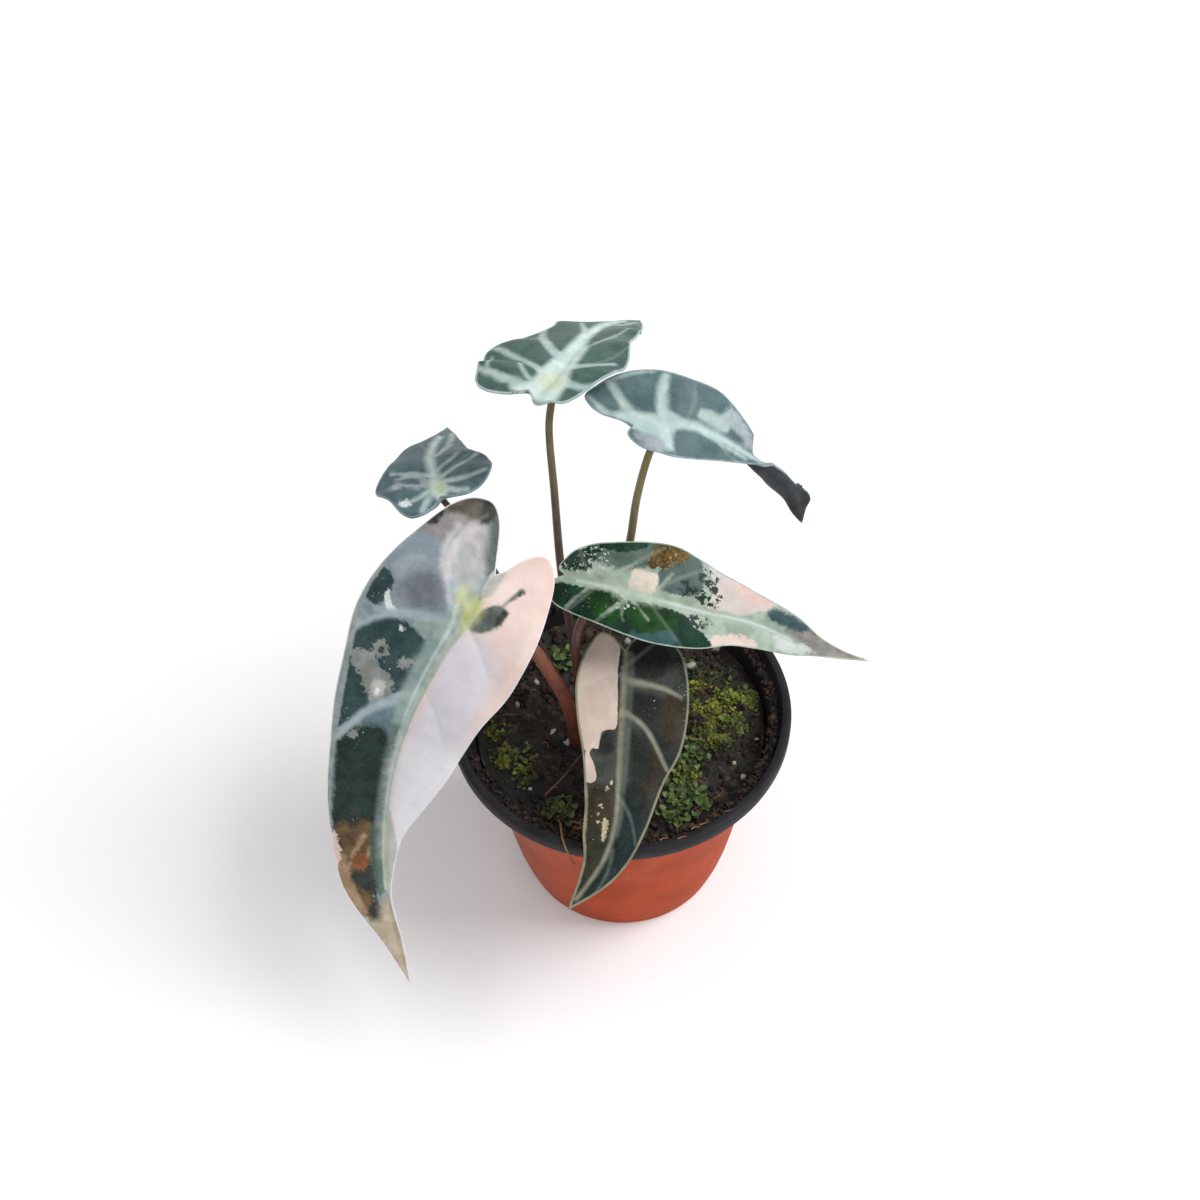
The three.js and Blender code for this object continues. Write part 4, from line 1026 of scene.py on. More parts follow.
@dataclass
class Leaf:
    """A blade with quilted veins, laid on its surface, and the stalk that carries it."""

    form: LeafForm
    columns: int = 150
    rows: int = 32
    edge_thickness: float = 0.55
    rib_thickness: float = 1.7
    rib_half_width: float = 2.2
    surface: BladeSurface = field(init=False)

    def __post_init__(self) -> None:
        """Measures the spine once."""
        self.surface = BladeSurface(self.form)

    def outline(self, side: Row) -> np.ndarray:
        """One half of the flat outline, with as many even steps as the grid has columns."""
        knots = np.vstack([self.form.sinus, flat_points(side), (0, self.surface.length)])
        return even_steps(knots, self.columns + 1)

    def half(self, side: Row) -> Piece:
        """One half of the flat blade: rows fan out from the midrib to the outline.

        Its faces are turned so that they look up once the blade is laid on its surface.

        Args:
            side: The outline's points between the sinus and the tip.

        Returns:
            The flat grid.
        """
        bpy.ops.mesh.primitive_grid_add(
            x_subdivisions=self.columns, y_subdivisions=self.rows, size=1
        )
        grid = bpy.context.object
        places = read_points(grid.data)
        column = np.rint((places[:, 0] + 0.5) * self.columns).astype(int)
        row = (places[:, 1] + 0.5)[:, None]
        share = column / self.columns
        lobe = np.clip(share / self.form.lobe_share, 0, 1)[:, None] ** 0.55
        along = np.clip((share - self.form.lobe_share) / (1 - self.form.lobe_share), 0, 1)
        rib = np.array(self.form.sinus) * (1 - lobe)
        rib[:, 1] += self.surface.length * along ** 1.15
        edge = self.outline(side)[column]
        flat = rib + (edge - rib) * row ** 0.9
        write_points(grid.data, np.column_stack([flat * MM, np.zeros(len(flat))]))
        if sum(face.normal.z for face in grid.data.polygons) > 0:
            edit(grid, bpy.ops.mesh.flip_normals)
        return grid

    def drawn(self) -> Piece:
        """Joins both halves into one flat blade."""
        pick(self.half(self.form.minus_side), self.half(self.form.plus_side))
        bpy.ops.object.join()
        blade = bpy.context.object
        edit(blade, lambda: bpy.ops.mesh.remove_doubles(threshold=0.02 * MM))
        return blade

    def build(self) -> None:
        """Makes the blade, which stands for its CAD node.

        The grid's vertices take the leaf's own surface, which no modelling tool gives, so
        they are placed by its formula. A modifier then gives the blade its thickness.
        """
        form = self.form
        blade = self.drawn()
        mesh = blade.data
        flat = read_points(mesh)[:, :2] / MM
        outline = np.vstack([self.outline(form.minus_side), self.outline(form.plus_side)[::-1]])
        margin = np.abs(depth_inside(flat, outline))
        vein = np.max([v.depth(flat) for v in form.laterals], axis=0)
        for number, layer in enumerate(form.layers):
            write_values(mesh, f"coat_{number}", layer.depth(flat))
        write_values(mesh, "vein", vein)
        write_values(mesh, "margin", margin)

        gap = np.maximum(0.6 - vein, 0)
        rib_gap = np.abs(flat[:, 0])
        inland = np.clip(margin / 3, 0, 1)
        quilt = 0.4 * (1 - np.exp(-(gap / 4) ** 2)) - 0.2 * np.exp(-(gap / 0.9) ** 2)
        channel = 0.45 * np.exp(-(rib_gap / 1.4) ** 2)
        relief = (quilt - channel) * inland
        points = self.surface.point(flat) + self.surface.normal(flat) * relief[:, None]
        write_points(mesh, points * MM)

        taper = np.clip(1.15 - flat[:, 1] / self.surface.length, 0.25, 1)
        rib = np.exp(-(rib_gap / self.rib_half_width) ** 2) * taper
        ridge = 0.3 * np.exp(-(gap / 0.8) ** 2) * inland
        spare = self.rib_thickness - self.edge_thickness
        weight = (self.edge_thickness + spare * np.maximum(rib, ridge)) / self.rib_thickness
        group = blade.vertex_groups.new(name="thickness")
        for index, value in enumerate(weight):
            group.add([index], float(value), "REPLACE")
        for side in Side:
            mesh.materials.append(BladeSkin(form, side).build())
        apply_modifier(
            blade, "SOLIDIFY", thickness=self.rib_thickness * MM, offset=-1,
            vertex_group=group.name, thickness_vertex_group=0.0, use_even_offset=False,
            material_offset=1, material_offset_rim=2,
        )
        hand_over(blade, f"{form.name}_blade", 70, "blade", f"leaf_{form.name}")

    def build_stalk(self) -> None:
        """Makes the petiole, from its foot in the soil to the underside of the blade."""
        stalk = self.form.stalk
        foot_radius, bulge_radius, top_radius = stalk.radii
        junction = np.zeros((1, 2))
        normal = self.surface.normal(junction)[0]
        end = self.surface.point(junction)[0] - normal * (self.rib_thickness - 0.4)
        line = even_steps(np.array([
            (*stalk.foot, FOOT_LEVEL), (*stalk.foot, SOIL_LEVEL + 3), *stalk.path,
            end - normal * 3.9, end,
        ]), 90)
        rise = np.clip((line[:, 2] - SOIL_LEVEL + 1) / 8, 0, 1)
        sheath = rise * rise * (3 - 2 * rise)
        thinning = np.minimum(np.linspace(0, 1, len(line)) * 1.15, 1) ** 0.8
        taper = bulge_radius + (top_radius - bulge_radius) * thinning
        radius = foot_radius + (taper - foot_radius) * sheath
        piece = tubes([(line, radius)], 6)
        piece.data.materials.append(StalkSkin(stalk.colours, line[-1][2]).build())
        name = self.form.name
        hand_over(piece, f"{name}_stalk", 60, "petiole", f"petiole_{name}")


def tubes(lines: list[Line], roundness: int) -> Piece:
    """Makes round, closed tubes along lines, as one mesh.

    Args:
        lines: Each tube's points and radii, in mm.
        roundness: How finely the tubes are rounded.

    Returns:
        The mesh object.
    """
    bpy.ops.object.select_all(action="DESELECT")
    bpy.ops.curve.primitive_bezier_curve_add()
    piece = bpy.context.object
    curve = piece.data
    curve.splines.clear()
    curve.dimensions = "3D"
    curve.bevel_depth = MM
    curve.bevel_resolution = roundness
    curve.use_fill_caps = True
    for points, radii in lines:
        spline = curve.splines.new("POLY")
        spline.points.add(len(points) - 1)
        rows = np.column_stack([points * MM, np.ones(len(points))])
        spline.points.foreach_set("co", rows.ravel())
        spline.points.foreach_set("radius", radii)
    pick(piece)
    bpy.ops.object.convert(target="MESH")
    piece = bpy.context.object
    edit(
        piece,
        lambda: bpy.ops.mesh.remove_doubles(threshold=0.002 * MM),
        lambda: bpy.ops.mesh.normals_make_consistent(inside=False),
    )
    return piece


@dataclass(frozen=True)
class StalkSkin:
    """Fresh petiole skin: smooth and waxy, its colour changing from the foot to the top.

    Fine streaks run up the stalk.
    """

    colours: tuple[str, str, str]
    high: float

    def build(self) -> Material:
        """Makes the material."""
        material, add, place = start_material("waxy_petiole_skin")
        low, middle, top = (linear(code) for code in self.colours)
        height = add("SeparateXYZ", [place], "Z")
        climb = add("MapRange", [height, 0.072, self.high * MM])
        climbing = add("ValToRGB", [climb])
        ramp = climbing.node.color_ramp.elements
        ramp[0].color, ramp[1].color = low, top
        ramp.new(0.45).color = middle
        stretched = add("Mapping", {"Vector": place, "Scale": (1, 1, 0.12)})
        streaks = add("TexNoise", {"Vector": stretched, "Scale": 1 / (0.9 * MM), "Detail": 4.0})
        patches = add("TexNoise", {"Vector": place, "Scale": 1 / (7 * MM), "Detail": 3.0})
        both = add("Math", [streaks, patches], operation="MULTIPLY")
        shade = add("MapRange", [both, 0.14, 0.36, 0.72, 1.22])
        colour = add("VectorMath", {0: climbing, "Scale": shade}, operation="SCALE")
        bump = add("Bump", {"Strength": 0.25, "Distance": 0.15 * MM, "Height": streaks})
        skin = add("BsdfPrincipled", {
            "Base Color": colour, "Roughness": 0.42, "Normal": bump, "IOR": 1.42,
        })
        add("OutputMaterial", [skin])
        return material


@dataclass(frozen=True)
class PotPlastic:
    """Thin vacuum-formed polypropylene: satin, a little cloudy, with upright dust streaks.

    The shade share greys and dulls the left side, away from the light, in the streaks' colour:
    painted shade.
    """

    name: str
    dark: str
    light: str
    dust_and_shade: str
    roughness: float
    shade_share: float = 0.0

    def build(self) -> Material:
        """Makes the material."""
        material, add, place = start_material(self.name)
        cloud = add("TexNoise", {"Vector": place, "Scale": 1 / (16 * MM), "Detail": 4.0})
        share = add("MapRange", [cloud, 0.35, 0.65], interpolation_type="SMOOTHSTEP")
        colour = add("Mix", {
            FACTOR: share, FIRST: linear(self.dark), SECOND: linear(self.light),
        }, RESULT, data_type="RGBA")
        flattened = add("Mapping", {"Vector": place, "Scale": (1.4, 1.4, 0.5)})
        smears = add("TexNoise", {
            "Vector": flattened, "Scale": 1 / (9 * MM), "Detail": 8.0, "Roughness": 0.7,
        })
        dust_and_shade_share = add("MapRange", [smears, 0.52, 0.78, 0.0, 0.3])
        # Painted shade: the left side, away from the light, also takes the streaks' colour.
        across = add("SeparateXYZ", [place], "X")
        painted_shade = add("MapRange", [across, -8 * MM, -36 * MM, 0.0, self.shade_share])
        dust_and_shade_share = add("Math", [dust_and_shade_share, painted_shade], operation="MAXIMUM")
        colour = add("Mix", {
            FACTOR: dust_and_shade_share, FIRST: colour, SECOND: linear(self.dust_and_shade),
        }, RESULT, data_type="RGBA")
        gloss = add("MapRange", [smears, 0.3, 0.7, self.roughness - 0.06, self.roughness + 0.12])
        grain = add("TexNoise", {"Vector": place, "Scale": 1 / (0.8 * MM), "Detail": 3.0})
        bump = add("Bump", {"Strength": 0.12, "Distance": 0.1 * MM, "Height": grain})
        skin = add("BsdfPrincipled", {
            "Base Color": colour, "Roughness": gloss, "Normal": bump, "IOR": 1.49,
            "Specular IOR Level": 0.12,
        })
        add("OutputMaterial", [skin])
        return material


@dataclass
class Pot:
    """A nursery pot with a thick collar at the rim and six drain holes, in mm.

    The wall line holds heights and outer radii of the wall: a full lower body that flares
    out below the collar. A ledge joins the wall and the wider collar.
    """

    rim_radius: float = 55.0
    wall_line: tuple[tuple[float, float], ...] = (
        (0, 35), (8, 37.1), (16, 38.7), (26, 40.2), (40, 42), (58, 46), (77, 50),
    )
    collar_height: float = 5.0
    collar_width: float = 3.0
    wall: float = 1.2
    floor: float = 1.6
    drain_radius: float = 3.5
    drain_circle: float = 21.0
    drain_count: int = 6
    segments: int = 144

    def wall_radius(self, z: float) -> float:
        """Outer radius of the wall at a height."""
        return float(np.interp(z, *zip(*self.wall_line)))

    def profile(self) -> list[tuple[float, float]]:
        """The wall's rings as radius and height, from the foot over the rim to the floor."""
        collar_foot = POT_HEIGHT - self.collar_height
        inner = self.rim_radius - self.collar_width
        ledge = collar_foot + self.wall
        foot, top = self.wall_radius(0), self.wall_radius(collar_foot)
        rising = [
            (self.wall_radius(z), z)
            for z in (1, 2.2, 8, 12, 16, 21, 26, 33, 40, 46, 52, 58, 68, collar_foot - 0.6)
        ]
        falling = [
            (self.wall_radius(z) - self.wall, z) for z in (ledge - 0.5, 68, 58, 40, 26, 16, 8, 4)
        ]
        return [
            (foot - 1, 0), (foot - 0.3, 0.25), *rising, (top + 0.15, collar_foot - 0.1),
            (self.rim_radius - 0.9, collar_foot), (self.rim_radius - 0.25, collar_foot + 0.2),
            (self.rim_radius, collar_foot + 0.8), (self.rim_radius, POT_HEIGHT - 1.2),
            (self.rim_radius - 0.25, POT_HEIGHT - 0.4), (self.rim_radius - 0.9, POT_HEIGHT),
            (inner + 0.9, POT_HEIGHT), (inner + 0.2, POT_HEIGHT - 0.3),
            (inner, POT_HEIGHT - 0.9), (inner - 0.3, ledge + 0.6), (inner - 0.8, ledge),
            (top - self.wall + 0.5, ledge), *falling,
            (self.wall_radius(self.floor) - self.wall - 1.4, self.floor),
        ]

    def build(self) -> None:
        """Makes the pot, which stands for its CAD node."""
        rings = self.profile()
        radius, height = rings[0]
        bpy.ops.object.select_all(action="DESELECT")
        bpy.ops.mesh.primitive_circle_add(
            vertices=self.segments, radius=radius * MM, fill_type="NGON",
            location=(0, 0, height * MM),
        )
        pot = bpy.context.object
        pick(pot)
        bpy.ops.object.mode_set(mode="EDIT")
        bpy.ops.mesh.select_all(action="SELECT")
        for next_radius, next_height in rings[1:]:
            bpy.ops.mesh.extrude_region_move(
                TRANSFORM_OT_translate={"value": (0, 0, (next_height - height) * MM)}
            )
            scale = next_radius / radius
            bpy.ops.transform.resize(
                value=(scale, scale, 1), center_override=(0, 0, next_height * MM)
            )
            radius, height = next_radius, next_height
        bpy.ops.mesh.select_all(action="SELECT")
        bpy.ops.mesh.normals_make_consistent(inside=False)
        bpy.ops.object.mode_set(mode="OBJECT")
        self.drill(pot)
        self.dress(pot)
        hand_over(pot, "nursery_pot", 35, "pot_plastic", "pot")

    def drill(self, pot: Piece) -> None:
        """Cuts the drain holes through the floor.

        Args:
            pot: The pot.
        """
        drills = []
        for number in range(self.drain_count):
            x, y = around(self.drain_circle, FULL_TURN * number / self.drain_count)
            bpy.ops.mesh.primitive_cylinder_add(
                vertices=32, radius=self.drain_radius * MM, depth=6 * MM,
                location=(x * MM, y * MM, 0.8 * MM),
            )
            drills.append(bpy.context.object)
        pick(*drills)
        bpy.ops.object.join()
        drill = bpy.context.object
        apply_modifier(pot, "BOOLEAN", object=drill, operation="DIFFERENCE", solver="EXACT")
        bpy.data.objects.remove(drill)

    def dress(self, pot: Piece) -> None:
        """Gives the wall its orange-brown skin, and the collar and the inside a dark one.

        Args:
            pot: The pot.
        """
        pot.data.materials.clear()
        kind = "moulded_polypropylene_"
        for skin in (
            # The terracotta's last number is the painted shade on its left side.
            PotPlastic(kind + "terracotta", "#9e3b18", "#ae4521", "#8c5a4e", 0.58, 0.55),
            PotPlastic(kind + "charcoal", "#1e1e21", "#29292d", "#403f45", 0.5),
        ):
            pot.data.materials.append(skin.build())
        collar_foot = (POT_HEIGHT - self.collar_height) * MM
        for face in pot.data.polygons:
            centre = face.center
            reach = math.hypot(centre.x, centre.y)
            inside = reach < (self.wall_radius(centre.z / MM) - self.wall * 0.6) * MM
            low = centre.z < 0.5 * MM
            dark = centre.z > collar_foot - 0.15 * MM or (inside and not low)
            face.material_index = 1 if dark else 0


@dataclass(frozen=True)
class DampPeat:
    """Damp peat mix: nearly black crumbs with browner bits, dull with small moist glints."""

    name: str = "damp_peat"
    dark: str = "#100e0a"
    light: str = "#29231a"
    bits: str = "#4a3826"

    def build(self) -> Material:
        """Makes the material."""
        material, add, place = start_material(self.name)
        crumbs = add("TexNoise", {
            "Vector": place, "Scale": 1 / (2.2 * MM), "Detail": 8.0, "Roughness": 0.7,
        })
        share = add("MapRange", [crumbs, 0.4, 0.66])
        colour = add("Mix", {
            FACTOR: share, FIRST: linear(self.dark), SECOND: linear(self.light),
        }, RESULT, data_type="RGBA")
        cells = {"Vector": place, "Scale": 1 / (2.6 * MM)}
        specks = add("TexVoronoi", cells, "Color", feature="F1")
        found = add("MapRange", [add("SeparateColor", [specks]), 0.86, 0.9, 0.0, 0.8])
        colour = add("Mix", {
            FACTOR: found, FIRST: colour, SECOND: linear(self.bits),
        }, RESULT, data_type="RGBA")
        gloss = add("MapRange", [crumbs, 0.35, 0.7, 0.6, 0.95])
        bump = add("Bump", {"Strength": 0.8, "Distance": 0.6 * MM, "Height": crumbs})
        peat = add("BsdfPrincipled", {"Base Color": colour, "Roughness": gloss, "Normal": bump})
        add("OutputMaterial", [peat])
        return material


@dataclass(frozen=True)
class Litter:
    """A dull matter lying on the soil, its copies differing in tone.

    The stored tone of each copy runs from 0 to 1 between the two colours.
    """

    name: str
    dark: str
    light: str
    roughness: float
    grain: float

    def build(self) -> Material:
        """Makes the material."""
        material, add, place = start_material(self.name)
        tone = add("Attribute", [], "Fac", attribute_type="GEOMETRY", attribute_name="tone")
        colour = add("Mix", {
            FACTOR: tone, FIRST: linear(self.dark), SECOND: linear(self.light),
        }, RESULT, data_type="RGBA")
        grain = add("TexNoise", {"Vector": place, "Scale": 1 / (self.grain * MM), "Detail": 4.0})
        shade = add("MapRange", [grain, 0.3, 0.7, 0.75, 1.2])
        colour = add("VectorMath", {0: colour, "Scale": shade}, operation="SCALE")
        bump = add("Bump", {"Strength": 0.4, "Distance": 0.2 * MM, "Height": grain})
        skin = add("BsdfPrincipled", {
            "Base Color": colour, "Roughness": self.roughness, "Normal": bump,
        })
        add("OutputMaterial", [skin])
        return material


# A patch of small plants: its middle's x and y, radius, count, leaf size in mm, and tone.
Growth = tuple[float, float, float, int, float, float]


def soil_height(x: float, y: float) -> float:
    """Gives the soil's height, with mounds where moss grows.

    Args:
        x: The place, in mm.
        y: The place, in mm.

    Returns:
        The height in mm.
    """
    coarse = 0.7 * math.sin(x * 0.31 + 0.6) * math.cos(y * 0.27 - 0.4)
    fine = 0.45 * math.sin(x * 0.61 + y * 0.53)
    right = 2.2 * math.exp(-((x - 33) ** 2 + (y - 4) ** 2) / 260)
    left = 1.4 * math.exp(-((x + 31) ** 2 + (y + 10) ** 2) / 160)
    stems = 1.2 * math.exp(-((x + 10) ** 2 + (y + 4) ** 2) / 120)
    return SOIL_LEVEL + coarse + fine + right + left + stems


@dataclass
class Soil:
    """The potting soil with its crumbs, perlite, seedlings, moss and litter, in mm."""

    radius: float = 47.05
    depth: float = 7.0
    cells: int = 210
    crumb_count: int = 900
    ledge: float = 78.2
    ledge_crumbs: int = 900
    fibre_count: int = 46
    front_fibres: int = 34
    right_fibres: int = 16
    rim_fibres: int = 9
    seed: int = 7
    moss: tuple[Growth, ...] = (
        (30.1, 2.6, 4.6, 200, 1.2, 0.9), (35, 7, 4.4, 150, 1.2, 0.55),
        (27, -5, 4.2, 170, 1.3, 0.5), (37, -2.4, 5, 150, 1.3, 0.25),
        (32, -9, 4, 130, 1.2, 0.2), (42, 7, 4, 160, 1.4, 0.3),
        (25, 14, 5, 110, 1.3, 0.3), (25, 21, 5, 90, 1.3, 0.2),
        (35, 18, 4, 90, 1.3, 0.15), (20, -21, 5, 170, 1.3, 0.3),
        (21, 5, 5, 170, 1.2, 0.35), (25, -13, 5, 150, 1.2, 0.2),
        (-37.3, -13, 5, 130, 1.2, 0.5), (-41, -3, 3.4, 80, 1.2, 0.5),
        (-31, -20, 4, 90, 1.2, 0.3),
    )
    seedlings: tuple[Growth, ...] = (
        (35, -4, 6, 40, 1.8, 0.5), (42, 10, 4, 20, 1.9, 0.35),
        (19, -26, 5.4, 56, 2.0, 0.5), (22, -14, 6, 44, 1.7, 0.55),
        (16, -34, 5, 44, 2.3, 0.6), (23, -30.5, 4.4, 34, 2.4, 0.75),
        (-19.6, -32, 5.4, 46, 1.9, 0.35), (-22, 26, 7, 50, 2.3, 0.7),
        (8, 22, 8, 50, 1.9, 0.5), (-30, -12, 4, 20, 1.8, 0.5),
    )
    perlite: tuple[tuple[float, float, float], ...] = (
        (-22, -3.6, 0.9), (-17.4, -7.7, 1.3), (36, -17, 0.8), (38.5, -22, 1.1), (-9, -22, 0.6),
        (44, -8, 0.7), (-34, 8, 0.8), (7, 12, 1.1), (24, 22, 1.2), (-28, 18, 1.0),
        (3, 34, 1.1), (33, 30, 1.3), (-40, 14, 0.9), (12, -22, 0.6), (-29, -25, 0.6),
    )

    def place_on(self, x: float, y: float) -> float:
        """Gives the height of the finished soil surface, its lumps included.

        Args:
            x: The place, in mm.
            y: The place, in mm.

        Returns:
            The height in mm.
        """
        lump = noise.fractal(Vector((x / 7, y / 7, 3.1)), 0.8, 2.1, 5)
        grit = noise.fractal(Vector((x / 2.1, y / 2.1, 8.4)), 0.7, 2.0, 3)
        shelter = min(1.0, max(0.0, (self.radius - math.hypot(x, y)) / 4))
        return soil_height(x, y) + (0.9 * lump + 0.5 * grit) * (0.35 + 0.65 * shelter)

    def build(self) -> None:
        """Makes the body of soil, which stands for its CAD node.

        A round sheet of fine cells takes the surface's height, and its border is drawn
        down inside the pot and closed.
        """
        bpy.ops.mesh.primitive_grid_add(
            x_subdivisions=self.cells, y_subdivisions=self.cells, size=2
        )
        soil = bpy.context.object
        flat = disc(read_points(soil.data)) * self.radius
        height = np.array([self.place_on(float(a), float(b)) for a, b in flat])
        write_points(soil.data, np.column_stack([flat, height]) * MM)
        down = -self.depth * MM
        edit(
            soil,
            lambda: bpy.ops.mesh.select_all(action="DESELECT"),
            lambda: bpy.ops.mesh.select_non_manifold(),
            lambda: bpy.ops.mesh.extrude_region_move(
                TRANSFORM_OT_translate={"value": (0, 0, down)}
            ),
            lambda: bpy.ops.transform.resize(
                value=(0.975, 0.975, 0.0), center_override=(0, 0, SOIL_LEVEL * MM + down)
            ),
            lambda: bpy.ops.mesh.edge_face_add(),
            lambda: bpy.ops.mesh.select_all(action="SELECT"),
            lambda: bpy.ops.mesh.normals_make_consistent(inside=False),
        )
        soil.data.materials.append(DampPeat().build())
        hand_over(soil, "potting_mix", 180, "soil", "potting_soil")

    def scatter(
        self, name: str, seed: Piece, copies: list[tuple[Matrix, float]], finish: Litter,
    ) -> None:
        """Copies one small shape many times into a single piece.

        The copies are written straight into one mesh, because joining hundreds of
        objects by hand would take minutes.

        Args:
            name: The new piece's name.
            seed: The shape to copy, which is deleted afterwards.
            copies: Each copy's place in metres and its tone from 0 to 1.
            finish: The copies' finish.
        """
        shape = read_points(seed.data)
        faces = [tuple(face.vertices) for face in seed.data.polygons]
        points, corners, tones = [], [], []
        for matrix, tone in copies:
            start = len(points) * len(shape)
            turn = np.array(matrix.to_3x3())
            points.append(shape @ turn.T + np.array(matrix.translation))
            corners.extend(tuple(start + v for v in face) for face in faces)
            tones.append(np.full(len(shape), tone))
        mesh = bpy.data.meshes.new(name)
        mesh.from_pydata(np.vstack(points).tolist(), [], corners)
        write_values(mesh, "tone", np.concatenate(tones))
        mesh.materials.append(finish.build())
        piece = bpy.data.objects.new(name, mesh)
        bpy.context.scene.collection.objects.link(piece)
        bpy.data.objects.remove(seed)
        hand_over(piece, name, 60, "soil")

    def pebble(self, draw: random.Random) -> Piece:
        """Makes a small lumpy grain a millimetre in radius, of a few dozen faces.

        Args:
            draw: The source of random numbers.

        Returns:
            The grain.
        """
        bpy.ops.mesh.primitive_cube_add(size=1.5 * MM)
        grain = bpy.context.object
        edit(grain, lambda: bpy.ops.mesh.subdivide(number_cuts=1, smoothness=1.0))
        places = read_points(grain.data)
        for row in places:
            row *= draw.uniform(0.8, 1.2)
        write_points(grain.data, places)
        return grain

    def build_crumbs(self) -> None:
        """Makes the loose crumbs of peat that lie on the surface."""
        draw = random.Random(self.seed)
        copies = []
        for _ in range(self.crumb_count):
            reach = (self.radius - 1.5) * math.sqrt(draw.random())
            x, y = around(reach, draw.uniform(0, FULL_TURN))
            size = draw.uniform(0.35, 1.0) * draw.uniform(0.7, 1.3)
            copies.append((self.lying(x, y, size, draw), draw.random() ** 2))
        for _ in range(self.ledge_crumbs):
            reach = draw.uniform(48, 51.2)
            x, y = around(reach, math.radians(draw.gauss(-70, 80)))
            size = draw.uniform(0.2, 0.75) ** 1.2 * draw.uniform(0.7, 1.5)
            copies.append((self.lying(x, y, size, draw, self.ledge), draw.random() ** 2))
        finish = Litter("peat_crumbs", "#120e0a", "#4a2f20", 0.85, 0.6)
        self.scatter("peat_crumb_layer", self.pebble(draw), copies, finish)

    def lying(
        self, x: float, y: float, size: float, draw: random.Random, level: float | None = None,
    ) -> Matrix:
        """Turns a grain at random, half sunk in the soil or lying at a level.

        Args:
            x: Its flat place.
            y: Its flat place.
            size: Its radius.
            draw: The source of random numbers.
            level: The height it lies at, if not the soil's.

        Returns:
            Its place in metres, turned and stretched.
        """
        turn = Euler([draw.uniform(0, FULL_TURN) for _ in range(3)]).to_matrix().to_4x4()
        stretch = Matrix.Diagonal((
            size * draw.uniform(0.8, 1.5), size * draw.uniform(0.7, 1.1),
            size * draw.uniform(0.5, 0.9), 1,
        ))
        ground = self.place_on(x, y) if level is None else level
        spot = Vector((x, y, ground + size * 0.25)) * MM
        return Matrix.Translation(spot) @ turn @ stretch

    def build_perlite(self) -> None:
        """Makes the grains of perlite."""
        draw = random.Random(self.seed + 1)
        copies = [
            (self.lying(x, y, size, draw), draw.uniform(0.3, 1.0)) for x, y, size in self.perlite
        ]
        finish = Litter("expanded_perlite", "#7c7a76", "#bab7b0", 0.9, 0.5)
        self.scatter("perlite_grains", self.pebble(draw), copies, finish)

    def leaflet(self) -> Piece:
        """A tiny cupped, round leaf a millimetre across, its stalk end at the origin."""
        bpy.ops.mesh.primitive_grid_add(x_subdivisions=4, y_subdivisions=4, size=1)
        leaf = bpy.context.object
        u, v = disc(read_points(leaf.data) * 2).T
        width = 0.5 * (1 - 0.15 * v)
        cup = 0.22 * u * u - 0.12 * v * v
        write_points(leaf.data, np.column_stack([u * width, (v + 1) * 0.55, cup * 0.6]) * MM)
        apply_modifier(leaf, "SOLIDIFY", thickness=0.06 * MM, offset=0)
        return leaf

    def build_greenery(
        self, name: str, growths: tuple[Growth, ...], height: float, finish: Litter,
    ) -> None:
        """Makes crowds of tiny leaves on short hidden stems.

        Args:
            name: The new piece's name.
            growths: The patches the leaves stand in.
            height: How far the middle of a patch may stand above the soil.
            finish: The leaves' finish.
        """
        draw = random.Random(self.seed + len(growths))
        copies = []
        for middle_x, middle_y, radius, count, leaf_size, base_tone in growths:
            for _ in range(count):
                reach = radius * math.sqrt(draw.random()) * draw.uniform(0.7, 1.15)
                along, across = around(reach, draw.uniform(0, FULL_TURN))
                x, y = middle_x + along, middle_y + across
                if math.hypot(x, y) > self.radius - 0.8:
                    continue
                size = leaf_size * draw.uniform(0.5, 1.25)
                lift = draw.uniform(0.1, height) * max(0.25, 1 - reach / radius)
                spot = Vector((x, y, self.place_on(x, y) + lift)) * MM
                turn = Euler((draw.uniform(-0.1, 0.9), draw.uniform(-0.5, 0.5), 0))
                spin = Matrix.Rotation(draw.uniform(0, FULL_TURN), 4, "Z")
                place = Matrix.Translation(spot) @ spin @ turn.to_matrix().to_4x4()
                drift = 0.9 * noise.noise(Vector((x / 3, y / 3, 1.7)))
                tone = min(1.0, max(0.0, base_tone + drift + draw.uniform(-0.2, 0.2)))
                copies.append((place @ Matrix.Scale(size, 4), tone))
        self.scatter(name, self.leaflet(), copies, finish)

